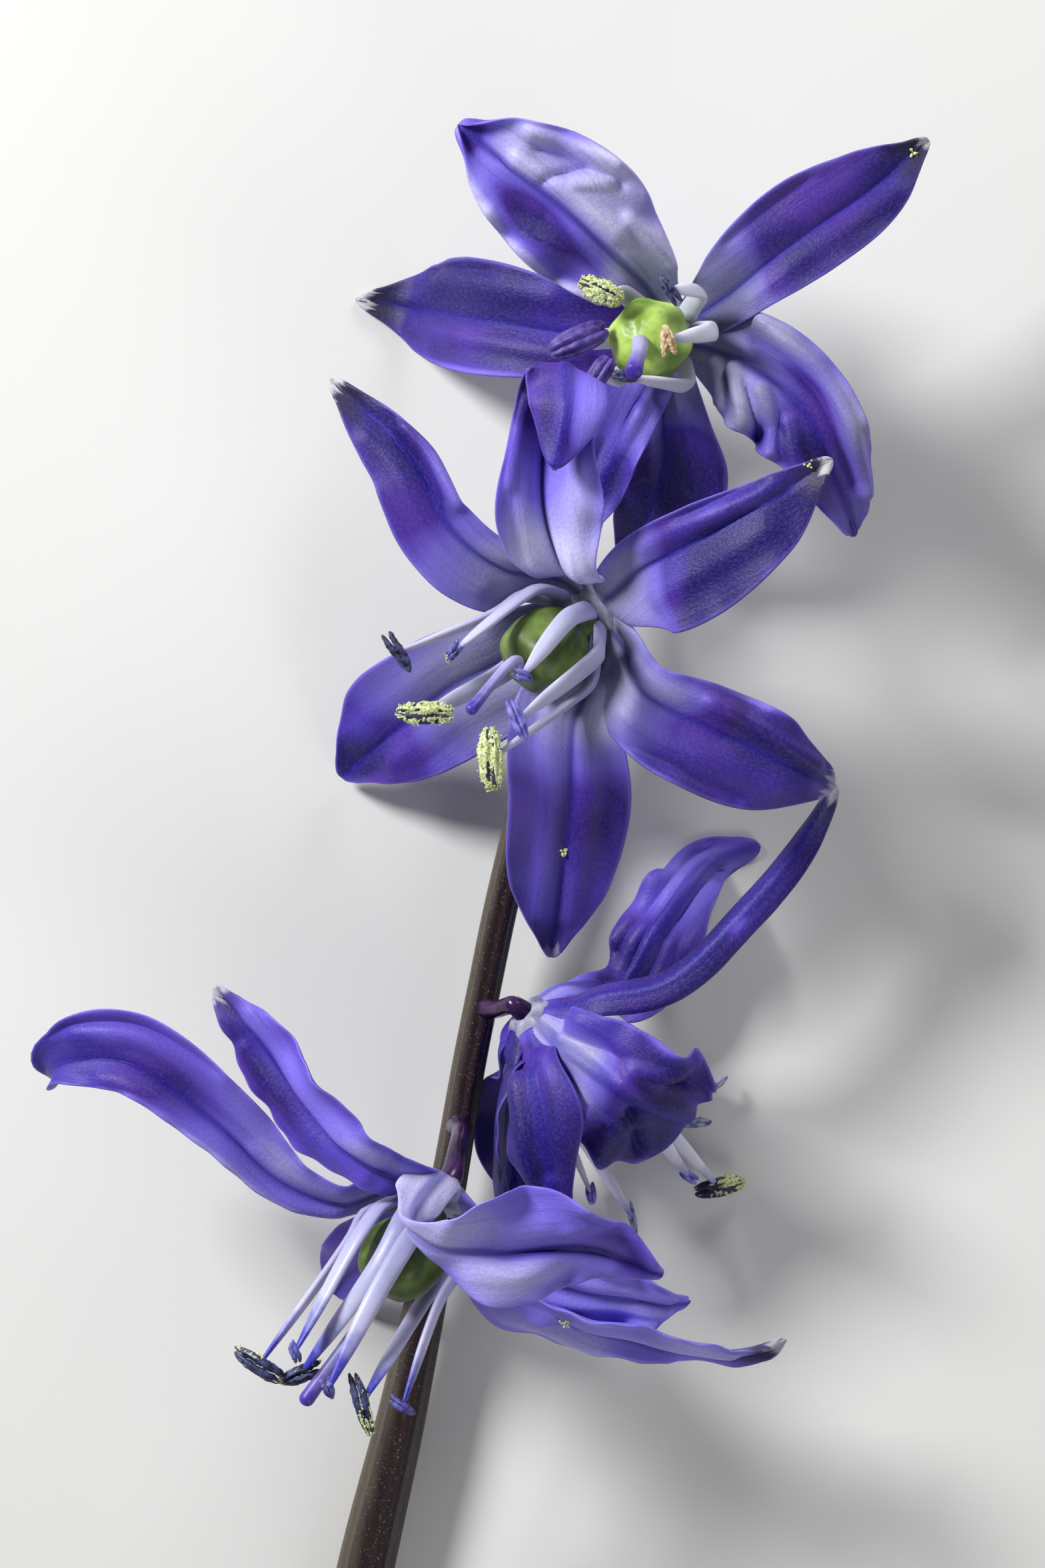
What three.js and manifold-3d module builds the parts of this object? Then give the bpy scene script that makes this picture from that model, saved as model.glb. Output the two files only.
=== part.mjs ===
// Siberian squill (Scilla siberica): a cut flowering stem, laid down.
// Millimetres. The stem runs along Y, the flowers open upwards, and the surface is the lowest plane.
import * as THREE from "three";
import { mergeVertices } from "three/addons/utils/BufferGeometryUtils.js";
import Module from "manifold-3d";

const wasm = await Module();
wasm.setup();

// ---- Driving dimensions ----------------------------------------------------------------------
const SURFACE_Z = -5.6; // the plane that the stem's cut end and two petal tips rest on
const BLADE = 0.6; // thickness of every petal
const BLADE_STEPS = 8; // lengthwise steps of a petal
const BLADE_ACROSS = 6; // strips across a petal
const CLAW_SHARE = 0.3; // share of the length over which the flat claw takes up its turn and cup
const CLAW_START = { out: 0.8, up: -0.6 }; // where a petal's rib starts, from the flower's seat
const CLAW_BEND = { out: 1.8, up: -0.2 }; // where it leaves the receptacle
const RECEPTACLE = [[0, -1.2], [0.7, -1.15], [1.25, -0.65], [1.2, -0.15], [0, -0.05]]; // radius, height
const STAMEN_RING = { out: 1.35, up: 0.85, thick: 0.31 }; // joins a flower's filaments at their feet
const FILAMENT_BEND = { out: 2.3, up: 1.95 }; // where a filament turns past the ovary
const FILAMENT_WIDE = [0.44, 0.42, 0.34, 0.3]; // half-width from foot to anther
const FILAMENT_THICK = 0.3; // half-thickness
const ANTHER = { wide: 0.48, thick: 0.4 }; // half-sizes across an anther
const OVARY = [
  [0, 0.3], [0.7, 0.3], [0.7, 1.1], [1.25, 1.5], [1.7, 2.3], [1.72, 3.2], [1.3, 4.2], [0, 4.7],
];
const OVARY_SIDES = 12;
const OVARY_GROOVE = 0.09; // depth of the six grooves, as a share of the radius
const STYLE_RADIUS = 0.36;
const PEDICEL_RADIUS = [0.42, 0.38, 0.4, 0.5]; // from the stem to the flower
const STEM_SIDES = 12;
const STEM_RIDGE = 0.05; // height of the stem's ridges, as a share of the radius

// The stem's centre line from the cut end to the top, and its radius at even steps.
const STEM_LINE = [
  [-12.4, -61, -4.5], [-9.3, -46, -4.4], [-6.6, -33, -4.2], [-5.0, -26.2, -3.9], [-3.15, -17, -3.4],
  [-2.25, -11.8, -3.1], [-1.55, -8.3, -2.9], [-1.0, -5.6, -2.7], [-0.35, -2.8, -2.5], [0.7, 1.5, -2.3],
  [1.8, 6.5, -2.1], [2.8, 11.5, -1.9], [3.8, 14.6, -1.6],
];
const STEM_RADIUS = [1.24, 1.22, 1.2, 1.14, 0.88, 0.69, 0.68, 0.68, 0.66];
const STEM_STEPS = 26;

// Each flower: its seat on the plant, the way it opens, its pedicel, petals, stamens and style.
// Petal: rib = middle line beyond the claw, from the seat; face = the way that the inner face
// looks, at even steps; left and right = half-widths at even steps, seen on the inner face with
// the tip up; cup = how far the margins curl inwards at the base, the middle and the tip, in
// degrees; wave = height and number of the waves along the margins, and their start.
// Stamen: bend and end of the filament from the seat, the way the anther lies and its length.
const FLOWERS = [
  {
    seat: [6.1, 18.6, 1.5],
    opens: [-0.3, -0.1, 0.95],
    pedicel: [[3.87, 14.81, -1.58], [5.1, 16.8, -1.2], [6.1, 18.2, -0.8], [6.56, 18.74, 0.02]],
    petals: [
      { rib: [[-2.2, 3.1, 2.1], [-4.4, 5.1, 3.1], [-6.7, 6.9, 3.3], [-8.7, 8.5, 3.0]],
        face: [[-0.2, -0.1, 1], [0.1, -0.2, 1], [0.3, -0.5, 1]],
        left: [0.9, 1.8, 2.7, 2.2, 0.5], right: [0.9, 2.0, 3.0, 2.5, 0.6],
        cup: [30, 10, 60], wave: [0.3, 2.5, 0] },
      { rib: [[2.7, 1.8, 1.5], [5.4, 3.9, 2.1], [8.2, 5.9, 1.5], [10.7, 8.1, 0.3]],
        face: [[-0.2, 0.1, 1], [0, -0.1, 1]],
        left: [0.9, 2.0, 2.4, 1.8, 0.4], right: [0.9, 1.5, 1.9, 1.6, 0.4],
        cup: [50, 30, 40], wave: [0.1, 2, 0] },
      { rib: [[3.3, -1.4, 1.8], [5.4, -3.2, 2.7], [6.8, -5.8, 1.9], [7.7, -8.3, 0]],
        face: [[-0.2, 0.1, 1], [0, 0, 1], [0.3, 0, 1]],
        left: [0.9, 2.2, 2.2, 1.7, 0.5], right: [0.9, 2.2, 2.4, 1.5, 0.5],
        cup: [30, 0, 20], wave: [0.4, 3, 0.2] },
      { rib: [[-0.3, -3.2, -0.9], [-0.3, -5.4, -2.2], [-0.9, -7.6, -4.2], [-1.7, -9.3, -6.5]],
        face: [[-0.3, -0.2, 1], [-0.2, -0.5, 0.8]],
        left: [0.9, 2.4, 3.0, 2.3, 0.5], right: [0.9, 1.5, 1.4, 1.4, 0.5],
        cup: [30, 20, 20], wave: [0.15, 2, 0.5] },
      { rib: [[-1.5, -3.2, -0.3], [-2.4, -5.1, -0.8], [-3.2, -7.0, -1.2], [-4.1, -8.8, -1.2]],
        face: [[-0.3, -0.2, 1], [-0.3, 0, 1]],
        left: [0.9, 1.2, 1.3, 1.1, 0.4], right: [0.9, 1.6, 1.8, 1.5, 0.4],
        cup: [30, 40, 40], wave: [0.1, 2, 0] },
      { rib: [[-4, 0.1, -0.7], [-7.1, 0.6, -2.1], [-9.4, 1.1, -4.6], [-11.0, 1.5, -6.75],
          [-13.1, 1.9, -6.95]],
        face: [[-0.3, -0.1, 1], [-0.6, 0.1, 0.8], [0, 0, 1]],
        left: [0.9, 1.9, 2.3, 1.8, 0.4], right: [0.9, 2.1, 2.6, 2.1, 0.4],
        cup: [30, 25, 0], wave: [0.1, 2, 0] },
    ],
    stamens: [
      { bend: [-2.4, 1.6, 2.9], end: [-2.9, 1.6, 4.9], lie: [0.88, -0.48, 0], long: 1.9 },
      { bend: [1.2, 1.6, 3.4], end: [-0.1, 1.6, 5.8], lie: [0.61, -0.79, 0], long: 1.6 },
      { bend: [1.6, -0.1, 4.9], end: [-0.2, -0.5, 6.6], lie: [0.2, -1, 0.1], long: 1.5 },
      { bend: [-3.1, -0.3, 2.2], end: [-3.8, -0.4, 4.2], lie: [0.91, 0.4, 0], long: 2.6 },
      { bend: [-2.5, -1.9, 2.4], end: [-2.9, -1.7, 4.1], lie: [0.5, 0.8, 0], long: 1.5 },
      { bend: [0.4, -2.2, 3.0], end: [-1.9, -1.9, 4.6], lie: [0.9, -0.2, 0], long: 1.1 },
    ],
    style: [[-1.3, -0.8, 5.2], [-1.6, -1.9, 7.2]],
  },
  {
    seat: [2.8, 7.0, 3.0],
    opens: [-0.66, -0.5, 0.56],
    pedicel: [[2.4, 5.0, -1.6], [3.3, 6.1, -0.9], [4.1, 7.6, 0.7], [3.8, 7.8, 2.05]],
    petals: [
      { rib: [[-3.6, 1.9, 1.0], [-5.7, 3.5, 1.6], [-7.4, 6.5, 1.4], [-10.7, 9.7, 0]],
        face: [[-0.5, -0.4, 0.7], [-0.25, -0.1, 1], [-0.2, 0, 1]],
        left: [0.9, 1.9, 2.2, 1.7, 0.4], right: [0.9, 1.3, 1.2, 0.9, 0.4],
        cup: [40, 30, 30], wave: [0.25, 2, 0.2] },
      { rib: [[-1.2, 2.1, 1.9], [-1.9, 4.0, 3.0], [-2.0, 6.3, 3.5], [-1.7, 8.6, 3.5], [-1.1, 10.0, 4.4],
          [-1.0, 8.5, 5.5], [-1.5, 5.8, 5.7]],
        face: [[-0.4, -0.4, 0.8], [-0.2, -0.3, 0.9], [0, -0.3, 1], [0, -0.1, 1], [0, -0.7, 0.8],
          [0, -0.8, -0.6], [0, -0.2, -1]],
        left: [0.9, 1.6, 2.2, 1.6, 1.6, 1.6, 0.5], right: [0.9, 1.9, 2.8, 2.3, 1.8, 1.7, 0.5],
        cup: [40, 50, 20], wave: [0.1, 2, 0] },
      { rib: [[2.1, 1.8, 2.2], [4.3, 2.9, 3.6], [6.8, 4.3, 4.6], [9.8, 6.2, 5.0]],
        face: [[-0.5, -0.3, 0.8], [-0.1, 0, 1], [0, 0, 1]],
        left: [0.9, 1.5, 1.5, 1.0, 0.4], right: [0.9, 3.0, 3.1, 2.2, 0.4],
        cup: [40, 25, 20], wave: [0.15, 2, 0] },
      { rib: [[2.2, -3.2, 1.4], [4.9, -4.7, 1.8], [7.6, -6.0, 1.4], [10.1, -7.1, 0]],
        face: [[-0.5, -0.3, 0.8], [-0.1, 0, 1], [0.2, 0, 1]],
        left: [0.9, 1.4, 1.8, 1.8, 0.6], right: [0.9, 2.2, 2.7, 2.3, 0.6],
        cup: [30, 20, -20], wave: [0.3, 2.5, 0] },
      { rib: [[-0.6, -4.3, 0.4], [-0.8, -7.6, -0.6], [-1.2, -11, -2.2], [-1.6, -14.2, -4.5]],
        face: [[-0.5, -0.4, 0.8], [0, -0.2, 1], [0, -0.3, 1]],
        left: [0.9, 2.0, 2.5, 2.0, 0.4], right: [0.9, 2.5, 2.6, 2.2, 0.4],
        cup: [30, 20, 25], wave: [0.1, 2, 0] },
      { rib: [[-3.5, -1.8, -1.8], [-5.7, -2.9, -3.4], [-7.9, -4.6, -5.2], [-10.4, -6.7, -8.0]],
        face: [[-0.5, -0.4, 0.8], [-0.4, -0.3, 1], [-0.3, -0.2, 1]],
        left: [0.9, 2.6, 3.0, 2.3, 0.5], right: [0.9, 1.9, 2.4, 2.6, 0.6],
        cup: [30, 15, 25], wave: [0.15, 2, 0] },
    ],
    stamens: [
      { bend: [-2.9, 0.6, 2.5], end: [-5.6, -1.6, 5.0], lie: [0.68, 0.73, 0], long: 1.1 },
      { bend: [-4.0, 0, 1.8], end: [-7.9, -1.6, 3.0], lie: [0.59, -0.81, 0], long: 2.0 },
      { bend: [-1.0, -0.3, 4.2], end: [-2.8, -2.6, 6.5], lie: [0.9, -0.3, 0], long: 1.1 },
      { bend: [0.3, -1.7, 3.2], end: [-3.0, -4.4, 5.5], lie: [0.35, -0.93, 0], long: 1.9 },
      { bend: [-3.9, -2.6, 0.2], end: [-6.8, -4.1, 3.5], lie: [1, -0.02, 0], long: 2.4 },
      { bend: [-0.8, -3.6, 1.6], end: [-4.1, -6.0, 4.0], lie: [0.05, -1, 0], long: 2.6 },
    ],
    style: [[-3.2, -2.0, 3.6], [-5.0, -4.1, 5.6]],
  },
  {
    seat: [0.8, -10.2, -1.5],
    opens: [0.64, -0.6, -0.48],
    pedicel: [[-1.28, -9.45, -2.22], [-0.95, -9.4, -1.6], [-0.7, -9.3, -1.15], [-0.35, -9.25, -0.73]],
    petals: [
      { rib: [[2.4, 1.25, 1.9], [5.3, 1.95, 2.5], [8.35, 4.75, 2.7], [10.8, 7.6, 2.3],
          [12.25, 10.1, 1.1]],
        face: [[0.5, -0.5, -0.7], [0.3, -0.4, -0.9]],
        left: [0.7, 0.9, 0.9, 0.8, 0.4], right: [0.7, 0.9, 0.9, 0.8, 0.4],
        cup: [30, 50, 30], wave: [0, 2, 0] },
      { rib: [[3.5, 1.9, -2.0], [4.8, 4.0, -2.1], [6.2, 5.9, -2.8], [7.3, 6.9, -3.85],
          [9.2, 7.6, -3.95]],
        face: [[0.4, -0.3, -0.9], [0.4, -0.3, -0.9], [0, 0, -1]],
        left: [0.7, 1.2, 1.8, 1.1, 0.5], right: [0.7, 1.0, 2.0, 1.5, 0.5],
        cup: [20, 20, 0], wave: [0.3, 2, 0] },
      { rib: [[1.2, -0.9, 3.7], [2.8, -2.1, 4.6], [4.6, -3.1, 3.5], [6.2, -3.5, 0.9]],
        face: [[0.5, 0, -0.8], [0.2, 0.2, -1]],
        left: [0.8, 1.5, 2.5, 3.2, 3.1, 1.5], right: [0.8, 1.6, 2.2, 2.9, 2.4, 0.7],
        cup: [20, 10, -20], wave: [0.2, 3, 0] },
      { rib: [[-0.5, -1.8, 3.3], [-0.2, -3.8, 3.9], [0.2, -5.7, 3.5], [0.8, -7.8, 2.0]],
        face: [[0.5, 0.1, -0.85]],
        left: [0.8, 1.3, 1.7, 1.9, 0.8], right: [0.8, 1.3, 2.0, 1.2, 0.6],
        cup: [30, 30, 20], wave: [0.2, 2, 0] },
      { rib: [[-1.0, -1.3, 0.1], [-1.5, -2.7, 0.3], [-1.7, -4.9, -0.1], [-1.8, -7.4, -1.3]],
        face: [[1, 0, 0.2]],
        left: [0.6, 0.8, 1.3, 1.3, 0.5], right: [0.7, 1.4, 1.6, 1.3, 0.5],
        cup: [20, 20, 20], wave: [0.1, 2, 0] },
      { rib: [[-1.1, -1.5, -2.4], [-1.3, -3.3, -3.0], [-1.3, -5.0, -3.4], [-1.1, -7.4, -3.5]],
        face: [[0.6, 0.2, 0.7], [0, 0, 1]],
        left: [0.6, 0.8, 1.0, 1.0, 0.5], right: [0.6, 1.3, 1.5, 1.5, 0.5],
        cup: [20, 10, 10], wave: [0.1, 2, 0] },
    ],
    stamens: [
      { bend: [4.2, -0.6, -1.4], end: [7.4, -2.5, -3.1], lie: [0.8, 0.55, 0], long: 1.3 },
      { bend: [4.4, -3.4, -1.2], end: [7.5, -6.8, -2.9], lie: [0.97, 0.2, 0], long: 2.2 },
      { bend: [1.6, -4.4, -0.4], end: [3.8, -8.0, -1.1], lie: [0.3, -0.95, 0], long: 1.5 },
      { bend: [0.8, -4.2, -2.2], end: [2.1, -7.1, -3.4], lie: [0.2, -1, 0], long: 1.0 },
      { bend: [4.2, -2.2, -3.4], end: [6.5, -4.1, -3.4], lie: [1, 0.1, 0], long: 1.5 },
      { bend: [3.0, -2.2, 1.6], end: [6.2, -6.3, -1.7], lie: [0.8, -0.5, 0], long: 0.9 },
    ],
    style: [[3.2, -3.1, -2.3], [4.3, -4.5, -2.4]],
  },
  {
    seat: [-3.6, -17.3, 3.5],
    opens: [-0.47, -0.76, 0.45],
    pedicel: [[-2.65, -14.4, -2.45], [-2.6, -14.5, -0.6], [-2.7, -15.1, 1.4], [-2.93, -16.2, 2.83]],
    petals: [
      { rib: [[-3.7, 0, -0.1], [-6.2, 0.8, 0.1], [-9.0, 3.3, 0.9], [-12.6, 5.8, 1.1], [-15.6, 5.7, -0.3],
          [-15.8, 5.0, -1.6]],
        face: [[-0.3, -0.5, 0.8], [-0.2, -0.2, 0.95], [0, -0.1, 1], [-0.6, 0.1, 0.8]],
        left: [0.8, 0.7, 1.0, 1.3, 1.3, 0.8], right: [0.8, 1.2, 1.9, 2.3, 2.3, 0.9],
        cup: [40, 50, 40], wave: [0.1, 2, 0] },
      { rib: [[-1.8, 1.2, 2.9], [-3.7, 2.5, 3.1], [-6.0, 5.3, 2.5], [-7.6, 7.5, 2.1], [-9.1, 8.9, 1.5]],
        face: [[1.2, -0.6, 1.2], [0.2, -0.5, 0.9], [-0.47, -0.5, 0.6], [-0.4, -0.3, 0.8],
          [-0.3, -0.2, 0.9]],
        left: [0.8, 0.9, 1.7, 1.6, 0.4], right: [0.8, 1.1, 2.1, 1.7, 0.4],
        cup: [0, 30, 30], wave: [0.2, 2, 0] },
      { rib: [[-0.7, 0.25, 3.6], [-1.0, -0.6, 4.9], [0.1, -1.5, 5.4], [2.5, -1.75, 5.2],
          [6.0, -1.6, 4.5], [9.3, -2.75, 2.8]],
        face: [[-1.2, -1.8, -1.8], [-1.2, -1.8, -1.8], [-1.2, -1.8, -1.8], [-1.2, -1.8, -1.8],
          [-0.9, -0.9, -0.2], [-0.2, -0.4, 0.9], [-0.1, -0.5, 0.9], [0, -0.4, 0.9],
          [0, -0.4, 0.9], [0, -0.3, 1], [0, -0.3, 1], [0, -0.2, 1], [0, -0.2, 1], [0, -0.1, 1],
          [0, -0.1, 1]],
        left: [0.8, 0.9, 1.1, 1.1, 0.6, 0.9, 1.9, 2.6, 2.9, 2.75, 2.4, 1.8, 1.2, 0.7, 0.4],
        right: [0.8, 0.9, 1.0, 1.0, 0.5, 0.4, 1.1, 1.9, 2.2, 2.1, 1.8, 1.4, 0.9, 0.6, 0.4],
        cup: [0, 15, 20], wave: [0.2, 2, 0] },
      { rib: [[3.2, -2.5, 0.7], [5.7, -3.5, 0.7], [8.2, -3.9, 0.3], [10.5, -4.1, -0.5]],
        face: [[-0.2, -0.5, 0.85]],
        left: [0.8, 1.5, 1.9, 1.5, 0.4], right: [0.8, 1.5, 1.9, 1.5, 0.4],
        cup: [30, 20, 20], wave: [0.3, 2.5, 0] },
      { rib: [[3.5, -4.0, -0.7], [6.2, -5.1, -0.9], [9.3, -6.0, -1.3], [12.1, -6.4, -1.7],
          [14.5, -5.8, -1.7]],
        face: [[-0.4, -0.75, 0.5]],
        left: [0.8, 1.4, 2.1, 1.8, 0.4], right: [0.8, 2.0, 1.4, 0.7, 0.4],
        cup: [40, 30, 30], wave: [0.1, 2, 0] },
      { rib: [[-1.7, -1.7, -3.1], [-2.9, -2.6, -5.1], [-3.9, -3.6, -7.3], [-4.3, -4.2, -8.5]],
        face: [[-0.47, -0.76, 0.45]],
        left: [0.8, 1.7, 2.0, 1.6, 0.5], right: [0.8, 1.7, 2.0, 1.6, 0.5],
        cup: [20, 10, 10], wave: [0.1, 2, 0] },
    ],
    stamens: [
      { bend: [-3.5, -1.4, 1.1], end: [-7.2, -6.5, 2.9], lie: [0.85, -0.5, 0], long: 2.6 },
      { bend: [-3.0, -1.0, 3.0], end: [-5.7, -5.9, 3.9], lie: [0.5, -0.8, 0], long: 1.0 },
      { bend: [-2.2, -2.2, 3.6], end: [-5.5, -6.9, 2.5], lie: [0.9, 0.35, 0], long: 2.0 },
      { bend: [-2.3, -3.4, 4.4], end: [-4.3, -7.3, 5.1], lie: [0.3, -0.9, 0], long: 1.1 },
      { bend: [-0.6, -4.2, 0.2], end: [-3.0, -8.1, 2.5], lie: [0.25, -0.97, 0], long: 2.8 },
      { bend: [0.2, -3.9, 2.6], end: [-1.3, -8.1, 4.1], lie: [0.8, -0.5, 0], long: 1.4 },
    ],
    style: [[-2.6, -4.2, 2.5], [-5.4, -8.1, 3.1]],
  },
];

const LOOKS = {
  petals: { color: 0x4a3bb0, roughness: 0.55, metalness: 0 },
  stamens: { color: 0xcfd0ea, roughness: 0.6, metalness: 0 },
  pistil: { color: 0x7d9a2e, roughness: 0.45, metalness: 0 },
  pedicel: { color: 0x4a2352, roughness: 0.3, metalness: 0 },
  stem: { color: 0x3a2a24, roughness: 0.5, metalness: 0 },
};

// ---- Small helpers ---------------------------------------------------------------------------
const vector = (p) => new THREE.Vector3(...p);

// The value at share u of a list that is given at even steps, on a smooth curve.
function along(values, u) {
  const last = values.length - 1;
  if (last === 0) {
    return values[0];
  }
  const at = (i) => values[Math.min(Math.max(i, 0), last)];
  const i = Math.min(Math.floor(u * last), last - 1);
  const t = u * last - i;
  const [a, b, c, d] = [at(i - 1), at(i), at(i + 1), at(i + 2)];
  return b + 0.5 * t * (c - a + t * (2 * a - 5 * b + 4 * c - d + t * (3 * (b - c) + d - a)));
}

function directionAlong(vectors, u) {
  return vector([0, 1, 2].map((k) => along(vectors.map((v) => v[k]), u)));
}

function curveThrough(points) {
  return new THREE.CatmullRomCurve3(points, false, "centripetal");
}

// A closed body through rings of points. A ring's first half and its second half face each
// other, and both halves are split into triangles alike, so that a thin waved body stays whole.
function loft(rings) {
  const count = rings[0].length;
  const half = count / 2;
  const faces = [];
  const quad = (a, b, c, d, turned) => {
    faces.push(...(turned ? [a, b, d, b, c, d] : [a, b, c, a, c, d]));
  };
  for (let i = 0; i + 1 < rings.length; i += 1) {
    for (let k = 0; k < count; k += 1) {
      const next = (k + 1) % count;
      const row = i * count;
      quad(row + k, row + next, row + count + next, row + count + k, k >= half);
    }
  }
  const end = (rings.length - 1) * count;
  for (let k = 0; k + 1 < half; k += 1) {
    const across = count - 1 - k;
    quad(k, across, across - 1, k + 1, false);
    quad(end + k, end + k + 1, end + across - 1, end + across, false);
  }
  const geometry = new THREE.BufferGeometry();
  const places = rings.flat().flatMap((p) => p.toArray());
  geometry.setAttribute("position", new THREE.Float32BufferAttribute(places, 3));
  geometry.setIndex(faces);
  return geometry;
}

function volume(geometry) {
  const at = geometry.attributes.position;
  const index = geometry.index.array;
  const [a, b, c] = [vector([0, 0, 0]), vector([0, 0, 0]), vector([0, 0, 0])];
  let sum = 0;
  for (let i = 0; i < index.length; i += 3) {
    a.fromBufferAttribute(at, index[i]);
    b.fromBufferAttribute(at, index[i + 1]);
    c.fromBufferAttribute(at, index[i + 2]);
    sum += a.dot(b.cross(c)) / 6;
  }
  return sum;
}

// A solid for joining, with its faces pointing out.
function solid(geometry) {
  geometry.deleteAttribute("normal");
  geometry.deleteAttribute("uv");
  const merged = mergeVertices(geometry, 1e-4);
  const triVerts = Uint32Array.from(merged.index.array);
  if (volume(merged) < 0) {
    for (let i = 0; i < triVerts.length; i += 3) {
      [triVerts[i], triVerts[i + 1]] = [triVerts[i + 1], triVerts[i]];
    }
  }
  const vertProperties = Float32Array.from(merged.attributes.position.array);
  return new wasm.Manifold(new wasm.Mesh({ numProp: 3, vertProperties, triVerts }));
}

function fuse(geometries) {
  return geometries.map(solid).reduce((sum, next) => sum.add(next));
}

// One named mesh. Scraps that joining cuts loose, and hollows that it seals, are left out.
function piece(name, body, look) {
  const whole = body.decompose().reduce((a, b) => (b.volume() > a.volume() ? b : a));
  const mesh = whole.getMesh();
  const geometry = new THREE.BufferGeometry();
  geometry.setAttribute("position", new THREE.Float32BufferAttribute(mesh.vertProperties, 3));
  geometry.setIndex(Array.from(mesh.triVerts));
  geometry.computeVertexNormals();
  const material = new THREE.MeshStandardMaterial({ ...look, flatShading: true });
  const result = new THREE.Mesh(geometry, material);
  result.name = name;
  return result;
}

// ---- The places in one flower ----------------------------------------------------------------
// A flower's own frame: up runs out of its mouth, and out(p) points from that axis towards p.
function flowerFrame(flower) {
  const seat = vector(flower.seat);
  const up = vector(flower.opens).normalize();
  const out = (p) => vector(p).addScaledVector(up, -vector(p).dot(up)).normalize();
  const place = (direction, spot) => {
    return seat.clone().addScaledVector(direction, spot.out).addScaledVector(up, spot.up);
  };
  const turn = new THREE.Quaternion().setFromUnitVectors(vector([0, 1, 0]), up);
  return { seat, up, out, place, turn };
}

// A turned shape whose axis is the flower's.
function turned(frame, profile, sides) {
  const geometry = new THREE.LatheGeometry(profile.map(([r, h]) => new THREE.Vector2(r, h)), sides);
  geometry.applyQuaternion(frame.turn);
  return geometry.translate(...frame.seat.toArray());
}

// A tube with an oval section: halfWide lies square to the given side, halfThick along it.
function tube(points, halfWide, halfThick, sides, steps, side) {
  const curve = curveThrough(points);
  const rings = [];
  for (let i = 0; i <= steps; i += 1) {
    const u = i / steps;
    const tangent = curve.getTangentAt(u);
    const thickWay = side.clone().addScaledVector(tangent, -side.dot(tangent)).normalize();
    const wideWay = tangent.clone().cross(thickWay);
    const ring = [];
    for (let k = 0; k < sides; k += 1) {
      const angle = (2 * Math.PI * (k + 0.5)) / sides;
      ring.push(curve.getPointAt(u)
        .addScaledVector(wideWay, along(halfWide, u) * Math.cos(angle))
        .addScaledVector(thickWay, along(halfThick, u) * Math.sin(angle)));
    }
    rings.push(ring);
  }
  return loft(rings);
}

// ---- Petals ----------------------------------------------------------------------------------
// The petal's middle surface: u runs from the claw to the tip, v from the left margin to the right.
function petalSurface(frame, petal) {
  const first = frame.out(petal.rib[0]);
  const rib = curveThrough([
    frame.place(first, CLAW_START),
    frame.place(first, CLAW_BEND),
    ...petal.rib.map((p) => vector(p).add(frame.seat)),
  ]);
  const [height, count, start] = petal.wave;
  return (u, v) => {
    const tangent = rib.getTangentAt(u);
    const free = THREE.MathUtils.smoothstep(u, 0, CLAW_SHARE);
    const face = frame.up.clone().lerp(directionAlong(petal.face, u), free);
    face.addScaledVector(tangent, -face.dot(tangent)).normalize();
    const side = tangent.clone().cross(face);
    const halfWidth = along(v < 0 ? petal.left : petal.right, u);
    const curl = THREE.MathUtils.degToRad(along(petal.cup, u)) * free + 1e-4;
    const ripple = Math.sin(2 * Math.PI * (count * u + start + (v < 0 ? 0.37 : 0)));
    const wave = height * v * v * Math.sin(Math.PI * u) * ripple;
    return rib.getPointAt(u)
      .addScaledVector(side, (Math.sign(v) * halfWidth * Math.sin(curl * Math.abs(v))) / curl)
      .addScaledVector(face, (halfWidth * (1 - Math.cos(curl * v))) / curl + wave);
  };
}

function petalNormal(surface, u, v) {
  const step = 0.01;
  const [u0, u1] = [Math.max(u - step, 0), Math.min(u + step, 1)];
  const [v0, v1] = [Math.max(v - step, -1), Math.min(v + step, 1)];
  const lengthwise = surface(u1, v).sub(surface(u0, v));
  const across = surface(u, v1).sub(surface(u, v0));
  return across.cross(lengthwise).normalize();
}

// The blade: inner face from left to right, then outer face back, and nothing below the surface.
function petalBlade(frame, petal) {
  const surface = petalSurface(frame, petal);
  const rings = [];
  for (let i = 0; i <= BLADE_STEPS; i += 1) {
    const u = i / BLADE_STEPS;
    const inner = [];
    const outer = [];
    for (let k = 0; k <= BLADE_ACROSS; k += 1) {
      const v = (2 * k) / BLADE_ACROSS - 1;
      const normal = petalNormal(surface, u, v);
      inner.push(surface(u, v).addScaledVector(normal, BLADE / 2));
      outer.unshift(surface(u, v).addScaledVector(normal, -BLADE / 2));
    }
    rings.push([...inner, ...outer].map((p) => p.setZ(Math.max(p.z, SURFACE_Z))));
  }
  return loft(rings);
}

function petals(name, flower, frame) {
  const blades = flower.petals.map((petal) => petalBlade(frame, petal));
  return piece(name, fuse([turned(frame, RECEPTACLE, 10), ...blades]), LOOKS.petals);
}

// ---- Stamens, pistil, pedicel and stem -------------------------------------------------------
function ringProfile({ out, up, thick }) {
  const corners = [[-1, -1], [1, -1], [1, 1], [-1, 1], [-1, -1]];
  return corners.map(([a, b]) => [out + a * thick, up + b * thick]);
}

function filament(frame, stamen) {
  const first = frame.out(stamen.bend);
  const end = vector(stamen.end).add(frame.seat);
  const points = [
    frame.place(first, STAMEN_RING),
    frame.place(first, FILAMENT_BEND),
    vector(stamen.bend).add(frame.seat),
    end,
  ];
  return tube(points, FILAMENT_WIDE, [FILAMENT_THICK], 6, 6, first);
}

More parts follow.
